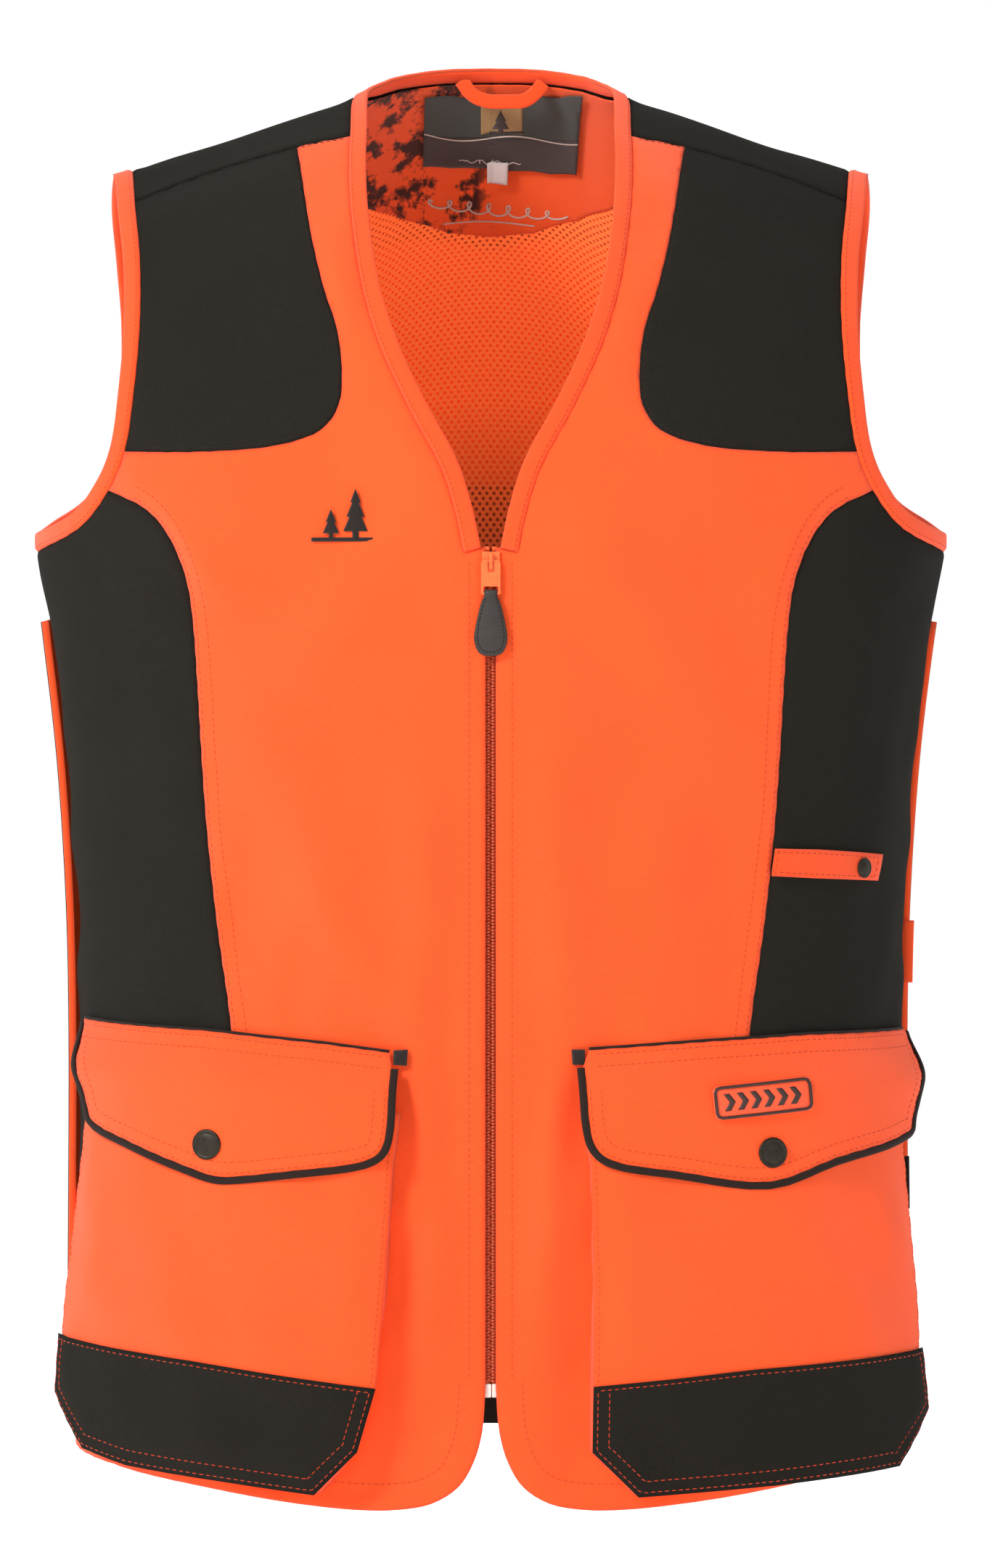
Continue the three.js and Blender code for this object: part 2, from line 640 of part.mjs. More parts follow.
const pivotHeight = sliderFace + archHeight / 2;
const pivotAt = sliderTop - sliderLength / 2 + 1;
const archLeg = archOpening / 2 + archBar;
const archProfile = [
  [-archLeg, sliderFace - 0.3], [-archOpening / 2, sliderFace - 0.3],
  [-archOpening / 2, sliderFace + archHeight], [archOpening / 2, sliderFace + archHeight],
  [archOpening / 2, sliderFace - 0.3], [archLeg, sliderFace - 0.3],
  [archLeg, sliderFace + archHeight + archBar], [-archLeg, sliderFace + archHeight + archBar],
];
const arch = pushed(archProfile.map(([z, g]) => [-frontDepth - g, pivotAt + z]), archWidth);
arch.applyMatrix4(new THREE.Matrix4().set(0, 0, 1, -archWidth / 2, 1, 0, 0, 0, 0, 1, 0, 0, 0, 0, 0, 1));
const slider = asSolid(sliderBody).add(asSolid(arch));
add("zip_slider", asGeometry(slider), "metal");

const leatherPivot = pivotAt - tabDrop;
const tabHalf = tabWidth / 2;
const tabOutline = [
  [-tabHalf + 1, pivotAt + tabBar / 2], [-tabHalf, pivotAt - 0.6], [-tabHalf, leatherPivot],
  [-tabHalf + 0.8, leatherPivot - tabBar / 2], [tabHalf - 0.8, leatherPivot - tabBar / 2],
  [tabHalf, leatherPivot], [tabHalf, pivotAt - 0.6], [tabHalf - 1, pivotAt + tabBar / 2],
];
const archWindow = archLeg + 1.6;
const neckHalf = leatherNeck / 2;
const tabHoles = [
  rectangle(-archWidth / 2 - 0.7, pivotAt - archWindow, archWidth / 2 + 0.7, pivotAt - tabBar / 2),
  rectangle(-neckHalf - 0.3, leatherPivot + tabBar / 2, neckHalf + 0.3, leatherPivot + 3.5),
];
const tabHeights = [pivotHeight - tabThickness / 2, pivotHeight + tabThickness / 2];
add("pull_tab", sheet(tabOutline, tabHeights, tabHoles), "metal");

const leatherHalf = leatherWidth / 2;
const leatherEdge = [
  [neckHalf, 1.9], [neckHalf, -1.7], [neckHalf + 1, -3.4], [6.2, -10], [leatherHalf - 0.6, -17],
  [leatherHalf, -21.5], [leatherHalf - 0.8, -26], [5.4, -29.2], [2, -leatherLength],
];
const leatherOutline = [...leatherEdge, ...[...leatherEdge].reverse().map(([x, z]) => [-x, z])];
const leatherHeights = [pivotHeight - leatherThickness / 2, pivotHeight + leatherThickness / 2];
const leatherSheet = sheet(leatherOutline.map(([x, z]) => [x, leatherPivot + z]), leatherHeights);
const barHole = block(
  [-leatherHalf, leatherHalf],
  [pivotHeight - tabThickness / 2 - 0.35, pivotHeight + tabThickness / 2 + 0.35],
  [leatherPivot - tabBar / 2 - 0.4, leatherPivot + tabBar / 2 + 0.4],
);
add("leather_pull", asGeometry(asSolid(leatherSheet).subtract(asSolid(barHole))), "leather");

// ---------- cargo pockets ----------

const pocketPatterns = {
  right: {
    edge: [
      [44.5, -504], [48, -530], [52, -590], [56, -637], [65, -669], [86, -690], [130, -684], [178, -677],
      [200, -669.5], [214, -643], [212, -614], [208, -575], [204, -539], [200, -489],
    ],
    patchTop: [[212, -614], [146, -625], [56, -638]],
    flapTop: [[49.5, -474.3], [82, -470], [138, -464], [200, -459]],
    flapEdge: [
      [45, -482.5], [48, -518], [52, -526], [61, -531], [98, -536], [128, -539], [136, -538.5], [152, -533],
      [178, -522], [198, -510], [201, -498], [201.5, -462],
    ],
    snap: [138, -519.5],
    bartack: [[40.5, -473], [47.5, -473.5], [47.5, -480.5], [41, -481]],
  },
  left: {
    edge: [
      [44, -504], [49, -530], [50.5, -590], [50, -637], [49.5, -669], [72, -691], [138, -686], [200, -678.5],
      [215, -651], [212, -621], [209, -575], [205, -530], [203, -495],
    ],
    patchTop: [[212, -621], [130, -629], [50, -637]],
    flapTop: [[48, -473], [106, -469], [154, -466], [203, -464.5]],
    flapEdge: [
      [42, -482], [45, -514], [49, -524], [58, -530.5], [90, -536], [136, -541.5], [170, -530], [201, -520.5],
      [208, -515], [209, -507], [205.5, -468],
    ],
    snap: [137, -523.5],
    bartack: [[39.5, -473], [46, -473], [46, -480.5], [40, -480.5]],
  },
};

for (const { name, sign } of sides) {
  const pattern = pocketPatterns[name];
  const topLine = pattern.flapTop.map(([x, z]) => front(x, z, flapSeamRise));
  const seamAt = lineThrough(topLine);
  const drop = (s, v) => seamAt(Math.abs(s)) - v;
  const mouth = mouthDrop * lengthGrade;
  const pocketHeight = (s, v) => {
    const t = THREE.MathUtils.smoothstep(drop(s, v), mouth, mouth + pocketSlope * lengthGrade);
    return mouthDepth + (pocketDepth - mouthDepth) * t;
  };
  const flapHeight = (s, v) => {
    const t = THREE.MathUtils.smoothstep(drop(s, v), 0, flapSlope);
    return flapSeamRise + (mouthDepth + flapRise - flapSeamRise) * t;
  };
  const over = (height, more) => (s, v) => height(s, v) + more;
  // a point seen from the front, on a surface of the given height
  const onHeight = (height) => ([x, z]) => {
    let place = front(x, z);
    for (let turn = 0; turn < 4; turn += 1) place = front(x, z, height(...place));
    return place;
  };
  const onPocket = onHeight(pocketHeight);
  const onFlap = onHeight(flapHeight);
  const mine = (line) => turnedTo(line, sign);

  const edge = pattern.edge.map(onPocket);
  const face = plate(mine(edge), over(pocketHeight, -clothThickness), pocketHeight, smallFacets);
  add(`pocket_face_${name}`, face, "orange");

  const rim = [...edge, ...shifted(edge, -clothThickness).reverse()];
  const gussetTop = over(pocketHeight, -clothThickness - seamGap);
  add(`pocket_gusset_${name}`, plate(mine(rim), 0.9, gussetTop, smallFacets), "orange");

  const patchTop = pattern.patchTop.map(onPocket);
  const patchOutline = [...edge.slice(4, -4), ...patchTop];
  const patchFace = over(pocketHeight, patchRise);
  const patch = plate(mine(patchOutline), patchFace, over(patchFace, patchThickness), smallFacets);
  add(`pocket_patch_${name}`, patch, "twill");

  const flapEdge = smooth(pattern.flapEdge.map(onFlap), 2);
  const pipingInside = shifted(flapEdge, -pipingWidth);
  const clothEdge = shifted(flapEdge, -pipingWidth - seamGap);
  const flapOutline = mine([...clothEdge, ...[...topLine].reverse()]);
  const flap = plate(flapOutline, flapHeight, over(flapHeight, flapThickness), smallFacets);
  add(`pocket_flap_${name}`, flap, "orange");
  const pipingHeights = [over(flapHeight, -pipingRise), over(flapHeight, flapThickness + pipingRise)];
  add(`flap_piping_${name}`, band(mine(flapEdge), mine(pipingInside), ...pipingHeights), "piping");
  const bartack = pattern.bartack.map(([x, z]) => front(x, z, 2));
  add(`flap_bartack_${name}`, plate(mine(bartack), 0.6, 3.2, smallFacets), "piping");

  const snapPlace = mine([onFlap(pattern.snap)])[0];
  const faceAtSnap = pocketHeight(...snapPlace);
  const flapAtSnap = flapHeight(...snapPlace);
  const capRadius = snapDiameter / 2;
  const cap = [
    [0, 0], [capRadius, 0], [capRadius, 0.6], [capRadius - 1, 1.2], [3, snapThickness], [0, snapThickness],
  ];
  add(`snap_cap_${name}`, disc(cap, 24, snapPlace, flapAtSnap + flapThickness + 0.3), "snap");
  const bore = studDiameter / 2 + 0.5;
  const socket = rectangle(bore, 0, socketDiameter / 2, socketThickness);
  const socketAt = flapAtSnap - 0.9 - socketThickness;
  add(`snap_socket_${name}`, disc([...socket, socket[0]], 20, snapPlace, socketAt), "snap");
  const studHeight = socketAt + 0.8 - faceAtSnap - studSeat;
  const stud = [
    [0, 0], [socketDiameter / 2 - 0.5, 0], [socketDiameter / 2 - 0.5, 0.8], [studDiameter / 2, 0.8],
    [studDiameter / 2, studHeight], [0, studHeight],
  ];
  add(`snap_stud_${name}`, disc(stud, 20, snapPlace, faceAtSnap + studSeat), "snap");

  if (name === "left") {
    const tilt = THREE.MathUtils.degToRad(6);
    const leaning = ([x, z]) => [
      132 + x * Math.cos(tilt) - z * Math.sin(tilt),
      -497 + x * Math.sin(tilt) + z * Math.cos(tilt),
    ];
    const badge = [[-24, -6], [-22, -8.5], [22, -8.5], [24, -6], [24, 6], [22, 8.5], [-22, 8.5], [-24, 6]]
      .map(leaning)
      .map(onFlap);
    const badgeFace = over(flapHeight, flapThickness + 0.9);
    add("flap_badge", plate(badge, badgeFace, over(badgeFace, 0.8), smallFacets), "snap");
  }
}

// ---------- chest emblem: two fir trees on a line of ground ----------

const emblem = [
  [-87.6, -225], [-56.6, -225], [-56.6, -223], [-64.5, -223], [-64.5, -220], [-60, -220], [-63, -213], [-61.5, -213],
  [-64.4, -206], [-63.4, -206], [-66, -199], [-68.6, -206], [-67.6, -206], [-70.5, -213], [-69, -213], [-72, -220],
  [-67.5, -220], [-67.5, -223], [-77, -223], [-77, -221], [-74, -221], [-76.4, -215.5], [-75.4, -215.5], [-78, -209],
  [-80.6, -215.5], [-79.6, -215.5], [-82, -221], [-79, -221], [-79, -223], [-87.6, -223],
];
add("chest_emblem", plate(emblem.map(([x, z]) => front(x, z)), 0.5, 1, smallFacets), "twill");

// ---------- strap and edge labels on the wearer's left ----------

const strapOutline = [[139, -375], [161, -375.5], [193, -378], [190.5, -391], [160, -389.7], [137.3, -388.5]];
const onStrap = ([x, z]) => front(x, z, strapRise);
const strap = plate(strapOutline.map(onStrap), strapRise, strapRise + strapThickness, smallFacets);
add("side_strap", strap, "bindingOrange");
const strapSnapPlace = onStrap([182.4, -384.6]);
const smallCap = strapSnap / 2;
const strapCap = [[0, 0], [smallCap, 0], [smallCap, 0.6], [smallCap - 1, 1.2], [0, 1.6]];
add("strap_snap_cap", disc(strapCap, 20, strapSnapPlace, strapRise + strapThickness + 0.3), "snap");
add("strap_snap_stud", disc([[0, 0], [3.5, 0], [3.5, 0.8], [0, 0.8]], 16, strapSnapPlace, 0.3), "snap");

const edgeFin = (degrees, [low, high], thickness, inner, outer) => {
  const [s] = side(degrees, low);
  const outline = [[s, side(degrees, low)[1]], [s + thickness, side(degrees, low)[1]],
    [s + thickness, side(degrees, high)[1]], [s, side(degrees, high)[1]]];
  return plate(outline, inner, outer, smallFacets);
};
add("side_tab", edgeFin(94, [-442, -411], 2, 0.6, 6.5), "bindingOrange");
add("side_label", edgeFin(88, [-554, -528], 1.2, 0.6, 4), "twill");

// ---------- game pocket on the back ----------

const gameTop = -262;
const gameBottom = -655;
const flareOf = (s, v, name, edgeS) => {
  const fromEdge = Math.abs(s - edgeS) / roundness;
  const along = THREE.MathUtils.clamp((v / lengthGrade - gameBottom) / (gameTop - gameBottom), 0, 1);
  return gamePocketFlare[name] * Math.exp(-((fromEdge / 0.3) ** 2)) * Math.sin(Math.PI * along) ** 0.5;
};
const angleS = (degrees) => roundness * THREE.MathUtils.degToRad(degrees);
const leftEdge = angleS(gamePocketAngle.left);
const rightEdge = 2 * halfTurn - angleS(gamePocketAngle.right);
const gameFace = (s, v) => gamePocketRise + flareOf(s, v, "left", leftEdge) + flareOf(s, v, "right", rightEdge);
const gameOuter = (s, v) => gameFace(s, v) + clothThickness;
const gameLevels = [gameTop, -300, -350, -400, -450, -500, -560, -610, gameBottom];
const gameEdge = (s) => gameLevels.map((z) => [s, z * lengthGrade]);
const gamePocket = [
  ...gameEdge(leftEdge).reverse(), [halfTurn, (gameTop + 12) * lengthGrade], ...gameEdge(rightEdge),
];
add("game_pocket", plate(gamePocket, gameFace, gameOuter), "orange");
for (const { name } of sides) {
  const edgeS = name === "left" ? leftEdge : rightEdge;
  const outOf = name === "left" ? -1 : 1;
  const near = gameEdge(edgeS + outOf * 0.2);
  const far = gameEdge(edgeS + outOf * (0.2 + edgeTape));
  const tape = band(near, far, (s, v) => gameFace(s, v) - 0.4, (s, v) => gameOuter(s, v) + 0.4);
  add(`game_pocket_tape_${name}`, tape, "piping");
}

export default vest;
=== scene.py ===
# Blaze orange hunting vest, size M: its looks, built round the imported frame.
# Chart places and outlines are in millimetres, as a tailor's pattern; meshes are in metres.
# +Z up, the front faces -Y, +X is the wearer's left.
import json
import math

import bmesh
import bpy
import numpy as np
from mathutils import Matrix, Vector
from mathutils.bvhtree import BVHTree
from mathutils.geometry import delaunay_2d_cdt


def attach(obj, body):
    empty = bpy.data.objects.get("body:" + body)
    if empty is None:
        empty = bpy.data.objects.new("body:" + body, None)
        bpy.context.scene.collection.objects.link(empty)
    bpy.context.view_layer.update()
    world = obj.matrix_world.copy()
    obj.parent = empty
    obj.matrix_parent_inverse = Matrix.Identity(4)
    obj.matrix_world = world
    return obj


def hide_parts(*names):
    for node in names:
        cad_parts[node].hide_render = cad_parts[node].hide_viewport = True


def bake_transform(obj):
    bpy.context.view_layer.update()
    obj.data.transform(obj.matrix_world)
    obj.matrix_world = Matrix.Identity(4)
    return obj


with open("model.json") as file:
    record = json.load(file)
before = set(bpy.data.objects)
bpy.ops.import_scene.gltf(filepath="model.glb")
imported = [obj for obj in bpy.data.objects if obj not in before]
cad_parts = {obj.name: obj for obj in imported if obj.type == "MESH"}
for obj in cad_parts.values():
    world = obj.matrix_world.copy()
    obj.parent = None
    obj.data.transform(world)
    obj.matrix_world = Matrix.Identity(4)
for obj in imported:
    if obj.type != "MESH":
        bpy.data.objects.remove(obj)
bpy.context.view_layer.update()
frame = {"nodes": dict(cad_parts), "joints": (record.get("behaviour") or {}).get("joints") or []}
mm = 0.001
shell = "vest_shell"
hinges = {joint["name"]: joint for joint in frame["joints"]}

# the body that every piece lies on
form = {
    "frontDepth": 118, "backDepth": 120, "squareness": 0.25, "chestLine": -225,
    "roundness": 170,    # mm of chart for one radian round the body
    "climb": 200,        # mm of chart for one radian over the shoulder
}
halfTurn = math.pi * form["roundness"]
ridgeLine = form["chestLine"] + form["climb"] * math.pi / 2


def lineThrough(points):
    # a smooth line through points, read at any place along its first number
    x, y = np.array(points, float).T
    slope = np.empty(len(x))
    slope[1:-1] = (y[2:] - y[:-2]) / (x[2:] - x[:-2])
    slope[0] = (y[1] - y[0]) / (x[1] - x[0])
    slope[-1] = (y[-1] - y[-2]) / (x[-1] - x[-2])

    def read(at):
        at = np.clip(at, x[0], x[-1])
        i = np.clip(np.searchsorted(x, at) - 1, 0, len(x) - 2)
        h = x[i + 1] - x[i]
        t = (at - x[i]) / h
        m0, m1, rise = slope[i] * h, slope[i + 1] * h, y[i + 1] - y[i]
        return y[i] + t * (m0 + t * (3 * rise - 2 * m0 - m1 + t * (m0 + m1 - 2 * rise)))
    return read


halfWidthAt = lineThrough([
    (-720, 207), (-560, 204), (-430, 204), (-340, 209), (-270, 217.5), (-225, 225.5), (-180, 226), (40, 226)])
shoulderAt = lineThrough([
    (0, 31), (24, 26), (46, 14.5), (62, 0.5), (90, -10.5), (135, -26), (175, -38), (226, -52)])


def bodyPoint(s, v):
    turn = s / form["roundness"]
    level = form["chestLine"]
    over = np.maximum(0, v - level) / form["climb"]
    x = halfWidthAt(np.minimum(v, level)) * np.sin(turn)
    facing = np.cos(turn) * np.cos(over)
    depth = np.where(facing > 0, form["frontDepth"], form["backDepth"])
    y = -depth * facing * (1 + form["squareness"] * np.sin(turn) ** 2)
    z = np.where(v < level, v, level + np.sin(over) * (shoulderAt(np.abs(x)) - level))
    return np.stack([x, y, z], -1)


def slopes(places):
    s, v = places[..., 0], places[..., 1]
    step = 0.02
    alongS = (bodyPoint(s + step, v) - bodyPoint(s - step, v)) / (2 * step)
    alongV = (bodyPoint(s, v + step) - bodyPoint(s, v - step)) / (2 * step)
    out = np.cross(alongS, alongV)
    out /= np.linalg.norm(out, axis=-1, keepdims=True)
    return alongS, alongV, out


def onBody(places, g=0.0):
    places = np.asarray(places, float)
    g = np.asarray(g, float) * np.ones(places.shape[:-1])
    return bodyPoint(places[..., 0], places[..., 1]) + slopes(places)[2] * g[..., None]


def front(points, g=0.0):
    # chart places of points seen from the front, at a height above the cloth
    points = np.asarray(points, float).reshape(-1, 2)
    level, climb = form["chestLine"], form["climb"]
    aim = points.copy()
    for turn in range(8):
        half = halfWidthAt(np.minimum(aim[:, 1], level))
        s = form["roundness"] * np.arcsin(np.clip(aim[:, 0] / half, -0.9995, 0.9995))
        rise = np.clip((aim[:, 1] - level) / (shoulderAt(np.abs(aim[:, 0])) - level), -1, 1)
        v = np.where(aim[:, 1] < level, aim[:, 1], level + climb * np.arcsin(rise))
        places = np.stack([s, v], -1)
        height = g(places) if callable(g) else g
        aim = aim + points - onBody(places, height)[:, [0, 2]]
    return places


def back(points, g=0.0):
    places = front(points, g)
    places[:, 0] = halfTurn - places[:, 0]
    return places


def side(degrees, z):
    s = form["roundness"] * math.radians(degrees)
    x = 226 * min(1, math.sin(math.radians(degrees))) * 0.999
    return np.array([s, front([(x, z)])[0, 1]])


def mirrored(line):
    return np.asarray(line) * [-1, 1]


def overTop(line):
    return np.array([halfTurn, 2 * ridgeLine]) - np.asarray(line)


def roundBack(line):
    return np.asarray(line) * [-1, 1] + [2 * halfTurn, 0]


def joined(*lines):
    return np.vstack([np.asarray(line, float).reshape(-1, 2) for line in lines])


def bothSides(half):
    return joined(half, roundBack(half)[::-1])


def smooth(points, steps):
    # centripetal curve through the points, with the same number of steps between each two
    p = joined(points)
    wide = np.vstack([2 * p[0] - p[1], p, 2 * p[-1] - p[-2]])
    line = []
    for i in range(len(p) - 1):
        a, b, c, d = wide[i:i + 4]
        ab, bc, cd = (max(1e-4, np.linalg.norm(q - r)) ** 0.5 for q, r in ((a, b), (b, c), (c, d)))
        m0 = ((b - a) / ab - (c - a) / (ab + bc) + (c - b) / bc) * bc
        m1 = ((c - b) / bc - (d - b) / (bc + cd) + (d - c) / cd) * bc
        for k in range(steps):
            t = k / steps
            line.append(b + t * (m0 + t * (3 * (c - b) - 2 * m0 - m1 + t * (m0 + m1 - 2 * (c - b)))))
    line.append(p[-1])
    return np.array(line)


def shifted(line, distance, closed=False):
    # the line moved sideways on the body; a positive distance goes to its right
    line = np.asarray(line, float)
    if closed:
        before, after = np.roll(line, 1, 0), np.roll(line, -1, 0)
    else:
        before, after = np.vstack([line[:1], line[:-1]]), np.vstack([line[1:], line[-1:]])
    alongS, alongV, out = slopes(line)
    step = after - before
    run = alongS * step[:, :1] + alongV * step[:, 1:]
    run /= np.maximum(1e-9, np.linalg.norm(run, axis=1, keepdims=True))
    across = np.cross(run, out) * np.reshape(np.asarray(distance, float) * np.ones(len(line)), (-1, 1))
    a, b, c = (alongS ** 2).sum(1), (alongS * alongV).sum(1), (alongV ** 2).sum(1)
    p, q = (across * alongS).sum(1), (across * alongV).sum(1)
    det = a * c - b * b
    return line + np.stack([(p * c - q * b) / det, (q * a - p * b) / det], -1)


def spaced(line, gap, closed=False):
    # the same line with points an even distance apart on the body
    line = np.asarray(line, float)
    if closed:
        line = np.vstack([line, line[:1]])
    keep = np.r_[True, np.linalg.norm(np.diff(line, axis=0), axis=1) > 1e-6]
    line = line[keep]
    lengths = np.r_[0, np.cumsum(np.linalg.norm(np.diff(onBody(line), axis=0), axis=1))]
    count = max(2, int(round(lengths[-1] / gap)) + 1)
    at = np.linspace(0, lengths[-1], count)
    even = np.stack([np.interp(at, lengths, line[:, k]) for k in (0, 1)], -1)
    return even[:-1] if closed else even


def finelyDivided(loop, gap):
    # a closed outline that keeps its corners, with points at most a gap apart
    line = []
    for a, b in zip(loop, np.roll(loop, -1, 0)):
        far = np.linalg.norm(onBody(b) - onBody(a))
        if far > 0.05:
            line += [a + (b - a) * k / max(1, round(far / gap)) for k in range(max(1, round(far / gap)))]
    return np.array(line)


def nearestEdge(points, loop, closed=True):
    # distance of each point from a polyline, and how far along it the nearest place is
    loop = np.asarray(loop)
    a = loop if closed else loop[:-1]
    run = (np.roll(loop, -1, 0) if closed else loop[1:]) - a
    size = np.maximum(1e-9, (run ** 2).sum(1))
    start = np.r_[0, np.cumsum(np.sqrt(size))[:-1]]
    distance, along = [], []
    for some in np.array_split(points, max(1, len(points) // 300)):
        t = np.clip(((some[:, None] - a) * run).sum(-1) / size, 0, 1)
        far = np.linalg.norm(some[:, None] - a - t[..., None] * run, axis=-1)
        best = far.argmin(1)
        distance.append(far[np.arange(len(some)), best])
        along.append(start[best] + t[np.arange(len(some)), best] * np.sqrt(size[best]))
    return np.concatenate(distance), np.concatenate(along)


def softNoise(places, seed, wavelength, waves=14):
    # gentle unevenness made of a few long waves; about -1 to 1
    dice = np.random.RandomState(seed)
    total = np.zeros(len(places))
    for k in range(waves):
        turn = dice.uniform(0, math.pi)
        length = wavelength * dice.uniform(0.6, 1.7)
        total += np.sin((places[:, 0] * math.cos(turn) + places[:, 1] * math.sin(turn)) * 2 * math.pi / length
                        + dice.uniform(0, 6.28))
    return total / math.sqrt(waves)


def fold(places, start, end, width, height):
    # a soft ridge between two chart places, or a furrow where height is below 0
    start, end = np.asarray(start, float), np.asarray(end, float)
    run = end - start
    t = ((places - start) @ run) / (run @ run)
    off = places - start - t[:, None] * run
    across = np.linalg.norm(off, axis=1)
    return height * np.exp(-(across / width) ** 2) * np.sin(math.pi * np.clip(t, 0, 1)) ** 0.8


# ---- making meshes ----

def rideAs(mesh, name, look, body, nodes):
    # a finished mesh becomes a piece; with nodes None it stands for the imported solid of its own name
    material, slot = look
    mesh.materials.append(material)
    piece = bpy.data.objects.new(name + "_piece" if name in frame["nodes"] else name, mesh)
    bpy.context.scene.collection.objects.link(piece)
    if body:
        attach(piece, body)
    if nodes or nodes is None:
        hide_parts(*([name] if nodes is None else nodes))
    return piece


farFromSeam = 6.0    # mm, for pieces without a seam to gather shade along


def newPiece(name, vertices, faces, look, body=shell, nodes=None, uv=None, edge=None, smoothed=True):
    mesh = bpy.data.meshes.new(name)
    mesh.from_pydata((np.asarray(vertices) * mm).tolist(), [], [list(map(int, face)) for face in faces])
    mesh.validate()
    if uv is not None:
        layer = mesh.uv_layers.new(name="cloth")
        corners = np.empty(len(mesh.loops), int)
        mesh.loops.foreach_get("vertex_index", corners)
        layer.data.foreach_set("uv", (np.asarray(uv)[corners] * mm).ravel())
    if edge is not None:
        mesh.attributes.new("seamDistance", "FLOAT", "POINT").data.foreach_set("value", np.asarray(edge) * mm)
    if smoothed:
        mesh.shade_smooth()
    return rideAs(mesh, name, look, body, nodes)


def heightAt(height, places):
    return height(places) if callable(height) else np.full(len(places), float(height))


def clothPiece(name, outline, look, base=0.0, thickness=1.6, gap=4.5, shape=None, pucker=0.25, roll=0.6,
               body=shell, nodes=None, held="stretched", sheet=True):
    # a piece of cloth cut to a chart outline: fine faces on both sides, its edge rolled under
    loop = finelyDivided(np.asarray(outline, float), gap * 0.8)
    if (loop[:, 0] * np.roll(loop[:, 1], -1) - np.roll(loop[:, 0], -1) * loop[:, 1]).sum() < 0:
        loop = loop[::-1]
    loop3d = onBody(loop, heightAt(base, loop))
    low, high = loop.min(0), loop.max(0)
    rows = np.arange(low[1], high[1], gap * 0.87)
    grid = [np.stack([np.arange(low[0] + (k % 2) * gap / 2, high[0], gap),
                      np.full(len(np.arange(low[0] + (k % 2) * gap / 2, high[0], gap)), v)], -1)
            for k, v in enumerate(rows)]
    inner = [(np.vstack(grid), gap * 0.55)] if grid else []
    inner += [(shifted(loop, -far, True), far * 0.8) for far in (1.1, 2.8)]
    points = [loop]
    for some, least in inner:
        far = nearestEdge(onBody(some, heightAt(base, some)), loop3d)[0]
        keep = far > least
        if least > 2.5:
            keep &= far > 4.2 if gap > 4 else far > least
        points.append(some[keep])
    flat = np.vstack(points)
    ring = [(i, (i + 1) % len(loop)) for i in range(len(loop))]
    found = delaunay_2d_cdt([Vector(p) for p in flat], ring, [], 1, 1e-5)
    places = np.array([tuple(p) for p in found[0]])
    faces = np.array([face for face in found[2] if len(face) == 3])
    used = np.unique(faces)
    renumber = np.full(len(places), -1)
    renumber[used] = np.arange(len(used))
    places, faces = places[used], renumber[faces]
    a, b, c = (places[faces[:, k]] for k in range(3))
    turned = (b[:, 0] - a[:, 0]) * (c[:, 1] - a[:, 1]) - (b[:, 1] - a[:, 1]) * (c[:, 0] - a[:, 0]) < 0
    faces[turned] = faces[turned][:, ::-1]

    level = heightAt(base, places)
    far, along = nearestEdge(onBody(places, level), loop3d)
    lift = shape(places, far) if shape else np.zeros(len(places))
    lift = lift + pucker * np.exp(-far / 5) * np.sin(along / 1.9 + 2 * np.sin(along / 23))
    outer = level + lift - roll * thickness * np.exp(-(far / 1.2) ** 2)
    inside = level + lift - thickness * (1 - 0.15 * np.exp(-(far / 1.2) ** 2))
    top, under = onBody(places, outer), onBody(places, inside)
    edges = {}
    for face in faces:
        for i in range(3):
            edges[(face[i], face[(i + 1) % 3])] = True
    walls = []
    count = len(places)
    for i, j in edges:
        if (j, i) not in edges:
            walls.append((i, i + count, j + count, j))
    everyFace = [tuple(f) for f in faces] + [tuple(f[::-1] + count) for f in faces] + walls
    stretch = np.array([1.22, 1.0])
    uv = np.vstack([places, places]) * stretch
    piece = newPiece(name, np.vstack([top, under]), everyFace, look, body, nodes, uv, np.r_[far, far])
    if sheet:
        cut = np.linalg.norm(np.cross(top[faces[:, 1]] - top[faces[:, 0]], top[faces[:, 2]] - top[faces[:, 0]]),
                             axis=1).sum() / 2 * mm * mm
        declareSheet(piece, *(np.ptp(places, axis=0) * stretch * mm), cut, held)
    surfaces[name] = (BVHTree.FromPolygons(top.tolist(), faces.tolist()), base)
    return piece


surfaces = {}


def declareSheet(piece, width, length, cut, held):
    grow = max(1.0, math.sqrt(cut / (width * length)) * 1.001)
    width, length = max(0.01, width * grow), max(0.01, length * grow)
    if cut < 0.31 * width * length:      # a bent strip is cut from a straighter, narrower one
        width, length = (cut / 0.5 / length, length) if width < length else (width, cut / 0.5 / width)


